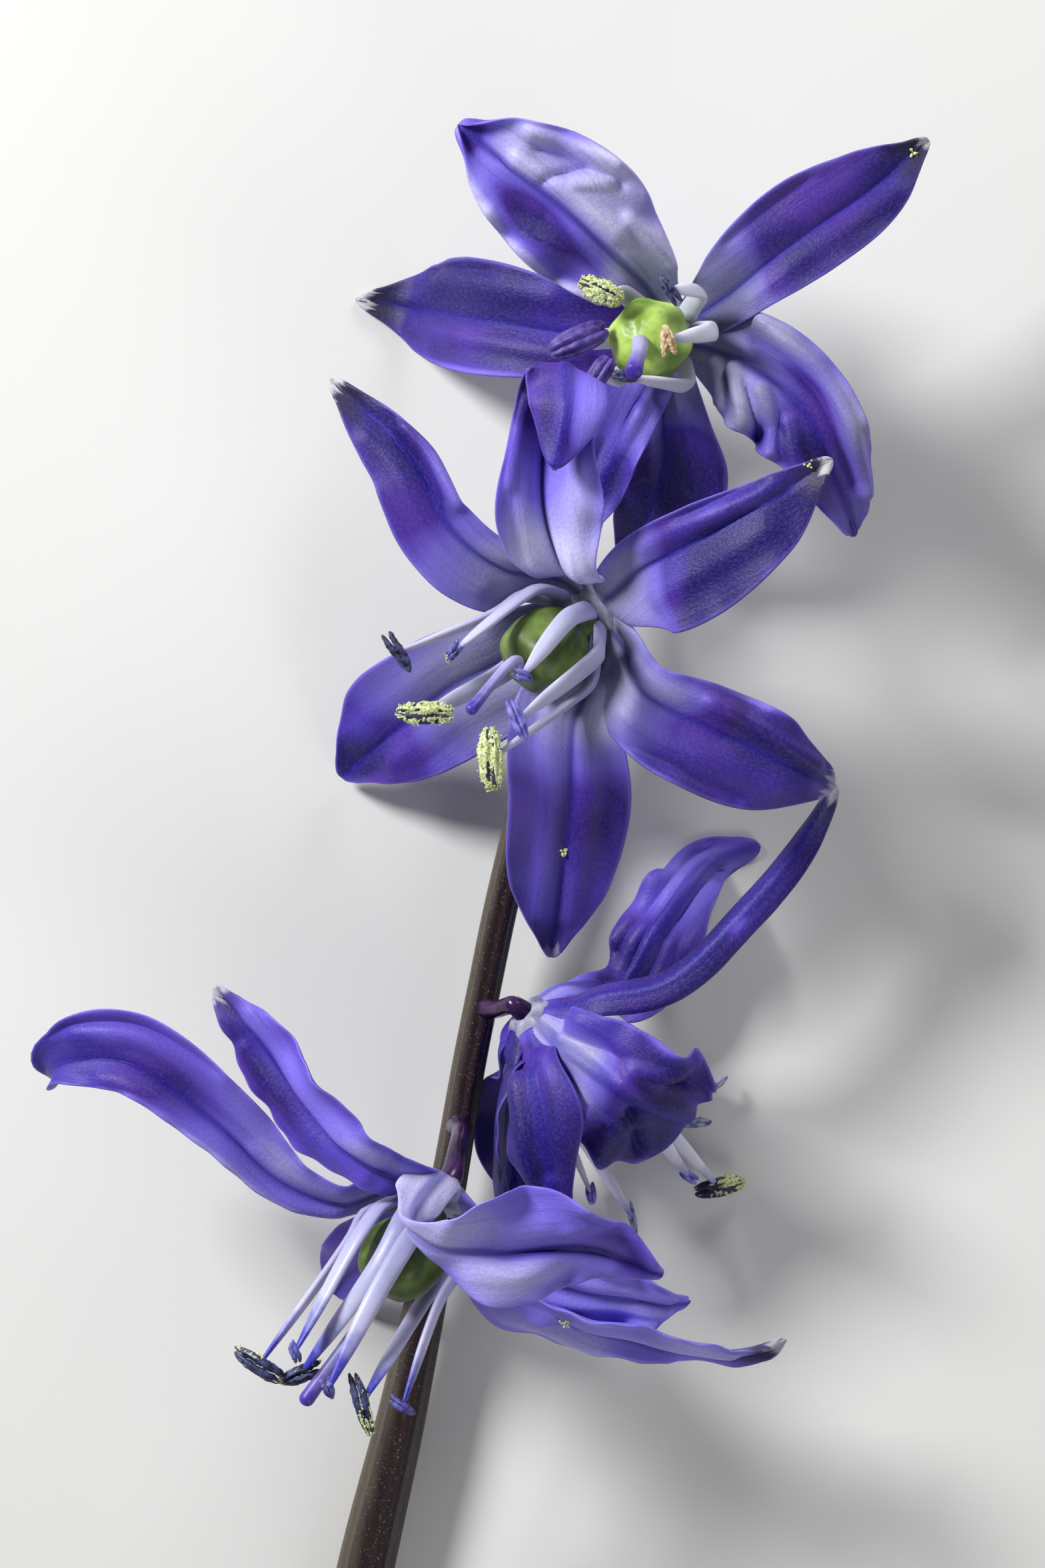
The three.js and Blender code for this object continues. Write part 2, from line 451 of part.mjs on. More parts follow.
function anther(frame, stamen) {
  const geometry = new THREE.SphereGeometry(1, 6, 5);
  geometry.scale(ANTHER.wide, stamen.long / 2, ANTHER.thick);
  const lie = vector(stamen.lie).normalize();
  geometry.applyQuaternion(new THREE.Quaternion().setFromUnitVectors(vector([0, 1, 0]), lie));
  return geometry.translate(...vector(stamen.end).add(frame.seat).toArray());
}

function stamens(name, flower, frame) {
  const parts = flower.stamens.flatMap((stamen) => [filament(frame, stamen), anther(frame, stamen)]);
  return piece(name, fuse([turned(frame, ringProfile(STAMEN_RING), 12), ...parts]), LOOKS.stamens);
}

// The ovary has six shallow grooves down its side.
function ovary(frame) {
  const geometry = new THREE.LatheGeometry(OVARY.map(([r, h]) => new THREE.Vector2(r, h)), OVARY_SIDES);
  const at = geometry.attributes.position;
  for (let i = 0; i < at.count; i += 1) {
    const angle = Math.atan2(at.getX(i), at.getZ(i));
    const share = 1 - OVARY_GROOVE * (0.5 - 0.5 * Math.cos(6 * angle));
    at.setX(i, at.getX(i) * share);
    at.setZ(i, at.getZ(i) * share);
  }
  geometry.applyQuaternion(frame.turn);
  return geometry.translate(...frame.seat.toArray());
}

function pistil(name, flower, frame) {
  const foot = frame.place(frame.up, { out: 0, up: 4.2 });
  const points = [foot, ...flower.style.map((p) => vector(p).add(frame.seat))];
  const style = tube(points, [STYLE_RADIUS], [STYLE_RADIUS], 6, 5, vector([0.9, 0.1, 0.4]));
  return piece(name, fuse([ovary(frame), style]), LOOKS.pistil);
}

function pedicel(name, flower) {
  const points = flower.pedicel.map(vector);
  const body = tube(points, PEDICEL_RADIUS, PEDICEL_RADIUS, 8, 6, vector([1, 0.2, 0.1]));
  return piece(name, solid(body), LOOKS.pedicel);
}

// The stem's ridges run lengthwise, one at every second corner of its section.
function stem() {
  const curve = curveThrough(STEM_LINE.map(vector));
  const rings = [];
  for (let i = 0; i <= STEM_STEPS; i += 1) {
    const u = i / STEM_STEPS;
    const tangent = curve.getTangentAt(u);
    const across = vector([0, 0, 1]).cross(tangent).normalize();
    const up = tangent.clone().cross(across);
    const ring = [];
    for (let k = 0; k < STEM_SIDES; k += 1) {
      const angle = (2 * Math.PI * k) / STEM_SIDES;
      const radius = along(STEM_RADIUS, u) * (1 + STEM_RIDGE * (k % 2 === 0 ? 1 : -1));
      const point = curve.getPointAt(u)
        .addScaledVector(across, radius * Math.cos(angle))
        .addScaledVector(up, radius * Math.sin(angle));
      ring.push(point.setZ(Math.max(point.z, SURFACE_Z)));
    }
    rings.push(ring);
  }
  return piece("stem", solid(loft(rings)), LOOKS.stem);
}

// ---- The plant, standing on its lowest plane with its middle over the origin -----------------
const plant = new THREE.Group();
plant.add(stem());
FLOWERS.forEach((flower, i) => {
  const number = i + 1;
  const frame = flowerFrame(flower);
  plant.add(
    pedicel(`pedicel_${number}`, flower),
    petals(`flower_${number}_tepals`, flower, frame),
    stamens(`flower_${number}_stamens`, flower, frame),
    pistil(`flower_${number}_pistil`, flower, frame),
  );
});
const middle = new THREE.Box3().setFromObject(plant, true).getCenter(new THREE.Vector3());
plant.position.set(-middle.x, -middle.y, -SURFACE_Z);

export default plant;
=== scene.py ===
# %% [markdown]
# # A cut stem of Siberian squill, laid on a table
# Scilla siberica flowers in early spring. A ridged brown stem carries a few nodding flowers, each
# with six petals (botanists call them tepals), six stamens and one green ovary.
# The solid model already gives every part its place and size. Here each part gets its thin,
# veined, waved form and a finish that is made of nodes. Petals could be sculpted by hand or cut
# from cards, but a formula that bends a sheet along a line keeps each one easy to read and change.

# %% Load the solid model
import math
from functools import partial

import bmesh
import bpy
import numpy as np
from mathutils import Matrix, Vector


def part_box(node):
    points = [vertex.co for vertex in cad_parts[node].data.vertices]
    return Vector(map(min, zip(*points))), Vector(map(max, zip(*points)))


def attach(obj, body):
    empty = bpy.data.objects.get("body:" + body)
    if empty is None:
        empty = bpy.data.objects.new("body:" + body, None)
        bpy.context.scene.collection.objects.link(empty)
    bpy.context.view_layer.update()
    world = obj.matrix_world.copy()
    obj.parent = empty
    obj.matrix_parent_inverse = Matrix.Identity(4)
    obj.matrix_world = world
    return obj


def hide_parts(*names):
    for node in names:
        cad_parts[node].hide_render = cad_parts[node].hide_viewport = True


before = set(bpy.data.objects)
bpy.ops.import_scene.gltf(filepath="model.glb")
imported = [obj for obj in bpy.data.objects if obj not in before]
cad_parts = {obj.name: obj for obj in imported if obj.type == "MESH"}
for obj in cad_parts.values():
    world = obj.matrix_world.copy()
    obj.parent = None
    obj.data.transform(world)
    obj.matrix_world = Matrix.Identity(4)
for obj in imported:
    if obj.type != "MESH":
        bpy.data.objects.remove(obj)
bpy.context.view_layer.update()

# %% [markdown]
# ## Smooth lists and lines
# A stem, a filament and the middle line of a petal are all the same thing: a smooth line through
# a few points. Blender has Bezier curves for this, but arithmetic on arrays lets us also ask for
# the heading at any share of the length, and that is what the petals are built round.

# %% Reading a list of values smoothly
MM = 0.001  # one millimetre in Blender's metres
TINY = 1e-9  # keeps a division by a length from failing


def unit(vectors):
    return vectors / np.maximum(np.linalg.norm(vectors, axis=-1, keepdims=True), TINY)


def circle(sides):
    """Even angles once round."""
    return np.arange(sides) * 2 * math.pi / sides


def smooth_step(x):
    x = np.clip(x, 0, 1)
    return x * x * (3 - 2 * x)


def along(values, share):
    """The values at these shares of a list that is given at even steps, on a smooth curve."""
    values = np.asarray(values, float)
    share = np.asarray(share, float)
    last = len(values) - 1
    if last == 0:
        return np.broadcast_to(values[0], share.shape + values.shape[1:])
    padded = np.concatenate([values[:1], values, values[-1:]])
    step = np.minimum((share * last).astype(int), last - 1)
    t = (share * last - step).reshape(share.shape + (1,) * (values.ndim - 1))
    a, b, c, d = (padded[step + k] for k in range(4))
    return b + 0.5 * t * (c - a + t * (2 * a - 5 * b + 4 * c - d + t * (3 * (b - c) + d - a)))


print("half way through 1, 2, 4:", along([1, 2, 4], np.array([0.5])))


# %% A smooth line through points
FINE_STEPS = 201  # steps over which the length is measured
HEADING_STEP = 1e-4  # how far each way a heading looks


class Line:
    """A line through given points, read by share of its length."""

    def __init__(self, points):
        points = np.asarray(points, float)
        before = 2 * points[0] - points[1]
        after = 2 * points[-1] - points[-2]
        self.points = np.vstack([before, points, after])
        self.fine = np.linspace(0, 1, FINE_STEPS)
        steps = np.linalg.norm(np.diff(self.at(self.fine), axis=0), axis=1)
        self.lengths = np.concatenate([[0], np.cumsum(steps)])
        self.length = self.lengths[-1]

    def at(self, t):
        spans = len(self.points) - 3
        t = np.clip(t, 0, 1) * spans
        span = np.minimum(t.astype(int), spans - 1)
        t = (t - span)[:, None]
        p0, p1, p2, p3 = (self.points[span + k] for k in range(4))
        pairs = ((p0, p1), (p1, p2), (p2, p3))
        d0, d1, d2 = (np.sqrt(np.linalg.norm(b - a, axis=1))[:, None] for a, b in pairs)
        leave = d1 * ((p1 - p0) / d0 - (p2 - p0) / (d0 + d1) + (p2 - p1) / d1)
        arrive = d1 * ((p2 - p1) / d1 - (p3 - p1) / (d1 + d2) + (p3 - p2) / d2)
        bend = 3 * (p2 - p1) - 2 * leave - arrive
        return p1 + t * (leave + t * (bend + t * (2 * (p1 - p2) + leave + arrive)))

    def shares(self, share):
        return np.interp(np.asarray(share) * self.length, self.lengths, self.fine)

    def place(self, share):
        return self.at(self.shares(share))

    def heading(self, share):
        t = self.shares(share)
        ahead, behind = np.clip(t + HEADING_STEP, 0, 1), np.clip(t - HEADING_STEP, 0, 1)
        return unit(self.at(ahead) - self.at(behind))


# %% [markdown]
# ## The plant's dimensions
# These are the plant's own measures in millimetres, read from a plan view, with z up towards the
# eye. The stem's line runs from the cut end to the top. Each flower has a seat on the plant, the
# way that it opens, a pedicel, six petals, six stamens and a style; the points of the last three
# are given from the seat. The numbers are the solid model's, so the fine parts lie where the solid
# ones do. A few more then say what a solid blade can't show: pleats, ruffles and bleached patches.

# %% Stem, claws, stamens and ovary
SURFACE_Z = -5.6  # the table's height in the plant's own measures
CLAW_SHARE = 0.3  # share of a petal's length over which its claw takes up the turn and the cup
CLAW_START = (0.8, -0.6)  # out from the flower's axis and up along it
CLAW_BEND = (1.8, -0.2)
RECEPTACLE = [(0, -1.2), (0.7, -1.15), (1.25, -0.65), (1.2, -0.15), (0, -0.05)]
GROOVES = 6  # round the receptacle and the ovary
RECEPTACLE_GROOVE = 0.22  # depth of the grooves, as a share of the radius
FILAMENT_FOOT = (1.35, 0.85)
FILAMENT_BEND = (2.3, 1.95)
OVARY = [
    (0, 0.3), (0.7, 0.3), (0.7, 1.1), (1.25, 1.5), (1.7, 2.3), (1.72, 3.2), (1.3, 4.2), (0, 4.7),
]
OVARY_GROOVE = 0.09
STYLE_FOOT = 4.2  # height on the ovary where the style starts
PEDICEL_RADIUS = [0.6, 0.42, 0.36, 0.36, 0.42, 0.5]
STEM_LINE = [
    (-12.4, -61, -4.5), (-9.3, -46, -4.4), (-6.6, -33, -4.2), (-5.0, -26.2, -3.9),
    (-3.15, -17, -3.4), (-2.25, -11.8, -3.1), (-1.55, -8.3, -2.9), (-1.0, -5.6, -2.7),
    (-0.35, -2.8, -2.5), (0.7, 1.5, -2.3), (1.8, 6.5, -2.1), (2.8, 11.5, -1.9), (3.8, 14.6, -1.6),
]
STEM_RADIUS = [1.24, 1.22, 1.2, 1.14, 0.88, 0.69, 0.68, 0.68, 0.66]
STEM_RIDGE = 0.05  # height of the ridges, as a share of the radius
stem_line = Line(STEM_LINE)
print("stem, mm along its curve:", round(stem_line.length, 1))

# %% The four flowers
# the seat, the way that the flower opens, the style from the seat, and the pedicel
FLOWERS = [
    dict(seat=(6.1, 18.6, 1.5), opens=(-0.3, -0.1, 0.95),
         style=[(-1.3, -0.8, 5.2), (-1.6, -1.9, 7.2)],
         pedicel=[(3.87, 14.81, -1.58), (5.1, 16.8, -1.2), (6.1, 18.2, -0.8), (6.56, 18.74, 0.02)]),
    dict(seat=(2.8, 7.0, 3.0), opens=(-0.66, -0.5, 0.56),
         style=[(-3.2, -2.0, 3.6), (-5.0, -4.1, 5.6)],
         pedicel=[(2.4, 5.0, -1.6), (3.3, 6.1, -0.9), (4.1, 7.6, 0.7), (3.8, 7.8, 2.05)]),
    dict(seat=(0.8, -10.2, -1.5), opens=(0.64, -0.6, -0.48),
         style=[(3.2, -3.1, -2.3), (4.3, -4.5, -2.4)],
         pedicel=[(-1.28, -9.45, -2.22), (-0.95, -9.4, -1.6), (-0.7, -9.3, -1.15),
                  (-0.35, -9.25, -0.73)]),
    dict(seat=(-3.6, -17.3, 3.5), opens=(-0.47, -0.76, 0.45),
         style=[(-2.6, -4.2, 2.5), (-5.4, -8.1, 3.1)],
         pedicel=[(-2.65, -14.4, -2.45), (-2.6, -14.5, -0.6), (-2.7, -15.1, 1.4),
                  (-2.93, -16.2, 2.83)]),
]
print("flowers:", len(FLOWERS))

# %% The shape of every petal
# Named by flower and letter. rib: the middle line, from the seat. face: the way that the sheet
# looks, from foot to tip. left and right: half-widths. cup: degrees that the margins curl in.
# wave: height, count and start of the wave of the margins, where it isn't the usual one.
PETALS = {
    "1a": dict(
        rib=[(-2.2, 3.1, 2.1), (-4.4, 5.1, 3.1), (-6.7, 6.9, 3.3), (-8.7, 8.5, 3.0)],
        face=[(-0.2, -0.1, 1), (0.1, -0.2, 1), (0.3, -0.5, 1)], left=[0.9, 1.8, 2.7, 2.2, 0.5],
        right=[0.9, 2.0, 3.0, 2.5, 0.6], cup=[30, 10, 60], wave=(0.3, 2.5, 0)),
    "1b": dict(
        rib=[(2.7, 1.8, 1.5), (5.4, 3.9, 2.1), (8.2, 5.9, 1.5), (10.7, 8.1, 0.3)],
        face=[(-0.2, 0.1, 1), (0, -0.1, 1)], left=[0.9, 2.0, 2.4, 1.8, 0.4],
        right=[0.9, 1.5, 1.9, 1.6, 0.4], cup=[50, 30, 40]),
    "1c": dict(
        rib=[(3.3, -1.4, 1.8), (5.4, -3.2, 2.7), (6.8, -5.8, 1.9), (7.7, -8.3, 0)],
        face=[(-0.2, 0.1, 1), (0, 0, 1), (0.3, 0, 1)], left=[0.9, 2.2, 2.2, 1.7, 0.5],
        right=[0.9, 2.2, 2.4, 1.5, 0.5], cup=[30, 0, 20], wave=(0.4, 3, 0.2)),
    "1d": dict(
        rib=[(-0.3, -3.2, -0.9), (-0.3, -5.4, -2.2), (-0.9, -7.6, -4.2), (-1.7, -9.3, -6.5)],
        face=[(-0.3, -0.2, 1), (-0.2, -0.5, 0.8)], left=[0.9, 2.4, 3.0, 2.3, 0.5],
        right=[0.9, 1.5, 1.4, 1.4, 0.5], cup=[30, 20, 20], wave=(0.15, 2, 0.5)),
    "1e": dict(
        rib=[(-1.5, -3.2, -0.3), (-2.4, -5.1, -0.8), (-3.2, -7.0, -1.2), (-4.1, -8.8, -1.2)],
        face=[(-0.3, -0.2, 1), (-0.3, 0, 1)], left=[0.9, 1.2, 1.3, 1.1, 0.4],
        right=[0.9, 1.6, 1.8, 1.5, 0.4], cup=[30, 40, 40]),
    "1f": dict(
        rib=[(-4, 0.1, -0.7), (-7.1, 0.6, -2.1), (-9.4, 1.1, -4.6), (-11.0, 1.5, -6.75),
            (-13.1, 1.9, -6.95)], face=[(-0.3, -0.1, 1), (-0.6, 0.1, 0.8), (0, 0, 1)],
        left=[0.9, 1.9, 2.3, 1.8, 0.4], right=[0.9, 2.1, 2.6, 2.1, 0.4], cup=[30, 25, 0]),
    "2a": dict(
        rib=[(-3.6, 1.9, 1.0), (-5.7, 3.5, 1.6), (-7.4, 6.5, 1.4), (-10.7, 9.7, 0)],
        face=[(-0.5, -0.4, 0.7), (-0.25, -0.1, 1), (-0.2, 0, 1)], left=[0.9, 1.9, 2.2, 1.7, 0.4],
        right=[0.9, 1.3, 1.2, 0.9, 0.4], cup=[40, 30, 30], wave=(0.25, 2, 0.2)),
    "2b": dict(
        rib=[(-1.2, 2.1, 1.9), (-1.9, 4.0, 3.0), (-2.0, 6.3, 3.5), (-1.7, 8.6, 3.5),
            (-1.1, 10.0, 4.4), (-1.0, 8.5, 5.5), (-1.5, 5.8, 5.7)],
        face=[(-0.4, -0.4, 0.8), (-0.2, -0.3, 0.9), (0, -0.3, 1), (0, -0.1, 1), (0, -0.7, 0.8),
            (0, -0.8, -0.6), (0, -0.2, -1)], left=[0.9, 1.6, 2.2, 1.6, 1.6, 1.6, 0.5],
        right=[0.9, 1.9, 2.8, 2.3, 1.8, 1.7, 0.5], cup=[40, 50, 20]),
    "2c": dict(
        rib=[(2.1, 1.8, 2.2), (4.3, 2.9, 3.6), (6.8, 4.3, 4.6), (9.8, 6.2, 5.0)],
        face=[(-0.5, -0.3, 0.8), (-0.1, 0, 1), (0, 0, 1)], left=[0.9, 1.5, 1.5, 1.0, 0.4],
        right=[0.9, 3.0, 3.1, 2.2, 0.4], cup=[40, 25, 20], wave=(0.15, 2, 0)),
    "2d": dict(
        rib=[(2.2, -3.2, 1.4), (4.9, -4.7, 1.8), (7.6, -6.0, 1.4), (10.1, -7.1, 0)],
        face=[(-0.5, -0.3, 0.8), (-0.1, 0, 1), (0.2, 0, 1)], left=[0.9, 1.4, 1.8, 1.8, 0.6],
        right=[0.9, 2.2, 2.7, 2.3, 0.6], cup=[30, 20, -20], wave=(0.3, 2.5, 0)),
    "2e": dict(
        rib=[(-0.6, -4.3, 0.4), (-0.8, -7.6, -0.6), (-1.2, -11, -2.2), (-1.6, -14.2, -4.5)],
        face=[(-0.5, -0.4, 0.8), (0, -0.2, 1), (0, -0.3, 1)], left=[0.9, 2.0, 2.5, 2.0, 0.4],
        right=[0.9, 2.5, 2.6, 2.2, 0.4], cup=[30, 20, 25]),
    "2f": dict(
        rib=[(-3.5, -1.8, -1.8), (-5.7, -2.9, -3.4), (-7.9, -4.6, -5.2), (-10.4, -6.7, -8.0)],
        face=[(-0.5, -0.4, 0.8), (-0.4, -0.3, 1), (-0.3, -0.2, 1)], left=[0.9, 2.6, 3.0, 2.3, 0.5],
        right=[0.9, 1.9, 2.4, 2.6, 0.6], cup=[30, 15, 25], wave=(0.15, 2, 0)),
    "3a": dict(
        rib=[(2.4, 1.25, 1.9), (5.3, 1.95, 2.5), (8.35, 4.75, 2.7), (10.8, 7.6, 2.3),
            (12.25, 10.1, 1.1)], face=[(0.5, -0.5, -0.7), (0.3, -0.4, -0.9)],
        left=[0.7, 0.9, 0.9, 0.8, 0.4], right=[0.7, 0.9, 0.9, 0.8, 0.4], cup=[30, 50, 30],
        wave=(0, 2, 0)),
    "3b": dict(
        rib=[(3.5, 1.9, -2.0), (4.8, 4.0, -2.1), (6.2, 5.9, -2.8), (7.3, 6.9, -3.85),
            (9.2, 7.6, -3.95)], face=[(0.4, -0.3, -0.9), (0.4, -0.3, -0.9), (0, 0, -1)],
        left=[0.7, 1.2, 1.8, 1.1, 0.5], right=[0.7, 1.0, 2.0, 1.5, 0.5], cup=[20, 20, 0],
        wave=(0.3, 2, 0)),
    "3c": dict(
        rib=[(1.2, -0.9, 3.7), (2.8, -2.1, 4.6), (4.6, -3.1, 3.5), (6.2, -3.5, 0.9)],
        face=[(0.5, 0, -0.8), (0.2, 0.2, -1)], left=[0.8, 1.5, 2.5, 3.2, 3.1, 1.5],
        right=[0.8, 1.6, 2.2, 2.9, 2.4, 0.7], cup=[20, 10, -20], wave=(0.2, 3, 0)),
    "3d": dict(
        rib=[(-0.5, -1.8, 3.3), (-0.2, -3.8, 3.9), (0.2, -5.7, 3.5), (0.8, -7.8, 2.0)],
        face=[(0.5, 0.1, -0.85)], left=[0.8, 1.3, 1.7, 1.9, 0.8], right=[0.8, 1.3, 2.0, 1.2, 0.6],
        cup=[30, 30, 20], wave=(0.2, 2, 0)),
    "3e": dict(
        rib=[(-1.0, -1.3, 0.1), (-1.5, -2.7, 0.3), (-1.7, -4.9, -0.1), (-1.8, -7.4, -1.3)],
        face=[(1, 0, 0.2)], left=[0.6, 0.8, 1.3, 1.3, 0.5], right=[0.7, 1.4, 1.6, 1.3, 0.5],
        cup=[20, 20, 20]),
    "3f": dict(
        rib=[(-1.1, -1.5, -2.4), (-1.3, -3.3, -3.0), (-1.3, -5.0, -3.4), (-1.1, -7.4, -3.5)],
        face=[(0.6, 0.2, 0.7), (0, 0, 1)], left=[0.6, 0.8, 1.0, 1.0, 0.5],
        right=[0.6, 1.3, 1.5, 1.5, 0.5], cup=[20, 10, 10]),
    "4a": dict(
        rib=[(-3.7, 0, -0.1), (-6.2, 0.8, 0.1), (-9.0, 3.3, 0.9), (-12.6, 5.8, 1.1),
            (-15.6, 5.7, -0.3), (-15.8, 5.0, -1.6)],
        face=[(-0.3, -0.5, 0.8), (-0.2, -0.2, 0.95), (0, -0.1, 1), (-0.6, 0.1, 0.8)],
        left=[0.8, 0.7, 1.0, 1.3, 1.3, 0.8], right=[0.8, 1.2, 1.9, 2.3, 2.3, 0.9],
        cup=[40, 50, 40]),
    "4b": dict(
        rib=[(-1.8, 1.2, 2.9), (-3.7, 2.5, 3.1), (-6.0, 5.3, 2.5), (-7.6, 7.5, 2.1),
            (-9.1, 8.9, 1.5)],
        face=[(1.2, -0.6, 1.2), (0.2, -0.5, 0.9), (-0.47, -0.5, 0.6), (-0.4, -0.3, 0.8),
            (-0.3, -0.2, 0.9)], left=[0.8, 0.9, 1.7, 1.6, 0.4], right=[0.8, 1.1, 2.1, 1.7, 0.4],
        cup=[0, 30, 30], wave=(0.2, 2, 0)),
    "4c": dict(
        rib=[(-0.7, 0.25, 3.6), (-1.0, -0.6, 4.9), (0.1, -1.5, 5.4), (2.5, -1.75, 5.2),
            (6.0, -1.6, 4.5), (9.3, -2.75, 2.8)],
        face=[(-1.2, -1.8, -1.8), (-1.2, -1.8, -1.8), (-1.2, -1.8, -1.8), (-1.2, -1.8, -1.8),
            (-0.9, -0.9, -0.2), (-0.2, -0.4, 0.9), (-0.1, -0.5, 0.9), (0, -0.4, 0.9),
            (0, -0.4, 0.9), (0, -0.3, 1), (0, -0.3, 1), (0, -0.2, 1), (0, -0.2, 1), (0, -0.1, 1),
            (0, -0.1, 1)],
        left=[0.8, 0.9, 1.1, 1.1, 0.6, 0.9, 1.9, 2.6, 2.9, 2.75, 2.4, 1.8, 1.2, 0.7, 0.4],
        right=[0.8, 0.9, 1.0, 1.0, 0.5, 0.4, 1.1, 1.9, 2.2, 2.1, 1.8, 1.4, 0.9, 0.6, 0.4],
        cup=[0, 15, 20], wave=(0.2, 2, 0)),
    "4d": dict(
        rib=[(3.2, -2.5, 0.7), (5.7, -3.5, 0.7), (8.2, -3.9, 0.3), (10.5, -4.1, -0.5)],
        face=[(-0.2, -0.5, 0.85)], left=[0.8, 1.5, 1.9, 1.5, 0.4], right=[0.8, 1.5, 1.9, 1.5, 0.4],
        cup=[30, 20, 20], wave=(0.3, 2.5, 0)),
    "4e": dict(
        rib=[(3.5, -4.0, -0.7), (6.2, -5.1, -0.9), (9.3, -6.0, -1.3), (12.1, -6.4, -1.7),
            (14.5, -5.8, -1.7)], face=[(-0.4, -0.75, 0.5)], left=[0.8, 1.4, 2.1, 1.8, 0.4],
        right=[0.8, 2.0, 1.4, 0.7, 0.4], cup=[40, 30, 30]),
    "4f": dict(
        rib=[(-1.7, -1.7, -3.1), (-2.9, -2.6, -5.1), (-3.9, -3.6, -7.3), (-4.3, -4.2, -8.5)],
        face=[(-0.47, -0.76, 0.45)], left=[0.8, 1.7, 2.0, 1.6, 0.5],
        right=[0.8, 1.7, 2.0, 1.6, 0.5], cup=[20, 10, 10]),
}
print("petals:", len(PETALS))

# %% The stamens
# bend and end of each filament, the way that its anther lies, and the anther's length
STAMENS = [
    [((-2.4, 1.6, 2.9), (-2.9, 1.6, 4.9), (0.88, -0.48, 0), 1.9),
     ((1.2, 1.6, 3.4), (-0.1, 1.6, 5.8), (0.61, -0.79, 0), 1.6),
     ((1.6, -0.1, 4.9), (-0.2, -0.5, 6.6), (0.2, -1, 0.1), 1.5),
     ((-3.1, -0.3, 2.2), (-3.8, -0.4, 4.2), (0.91, 0.4, 0), 2.6),
     ((-2.5, -1.9, 2.4), (-2.9, -1.7, 4.1), (0.5, 0.8, 0), 1.5),
     ((0.4, -2.2, 3.0), (-1.9, -1.9, 4.6), (0.9, -0.2, 0), 1.1)],
    [((-2.9, 0.6, 2.5), (-5.6, -1.6, 5.0), (0.68, 0.73, 0), 1.1),
     ((-4.0, 0, 1.8), (-7.9, -1.6, 3.0), (0.59, -0.81, 0), 2.0),
     ((-1.0, -0.3, 4.2), (-2.8, -2.6, 6.5), (0.9, -0.3, 0), 1.1),
     ((0.3, -1.7, 3.2), (-3.0, -4.4, 5.5), (0.35, -0.93, 0), 1.9),
     ((-3.9, -2.6, 0.2), (-6.8, -4.1, 3.5), (1, -0.02, 0), 2.4),
     ((-0.8, -3.6, 1.6), (-4.1, -6.0, 4.0), (0.05, -1, 0), 2.6)],
    [((4.2, -0.6, -1.4), (7.4, -2.5, -3.1), (0.8, 0.55, 0), 1.3),
     ((4.4, -3.4, -1.2), (7.5, -6.8, -2.9), (0.97, 0.2, 0), 2.2),
     ((1.6, -4.4, -0.4), (3.8, -8.0, -1.1), (0.3, -0.95, 0), 1.5),
     ((0.8, -4.2, -2.2), (2.1, -7.1, -3.4), (0.2, -1, 0), 1.0),
     ((4.2, -2.2, -3.4), (6.5, -4.1, -3.4), (1, 0.1, 0), 1.5),
     ((3.0, -2.2, 1.6), (6.2, -6.3, -1.7), (0.8, -0.5, 0), 0.9)],
    [((-3.5, -1.4, 1.1), (-7.2, -6.5, 2.9), (0.85, -0.5, 0), 2.6),
     ((-3.0, -1.0, 3.0), (-5.7, -5.9, 3.9), (0.5, -0.8, 0), 1.0),
     ((-2.2, -2.2, 3.6), (-5.5, -6.9, 2.5), (0.9, 0.35, 0), 2.0),
     ((-2.3, -3.4, 4.4), (-4.3, -7.3, 5.1), (0.3, -0.9, 0), 1.1),
     ((-0.6, -4.2, 0.2), (-3.0, -8.1, 2.5), (0.25, -0.97, 0), 2.8),
     ((0.2, -3.9, 2.6), (-1.3, -8.1, 4.1), (0.8, -0.5, 0), 1.4)],
]
print("stamens:", sum(len(stamens) for stamens in STAMENS))
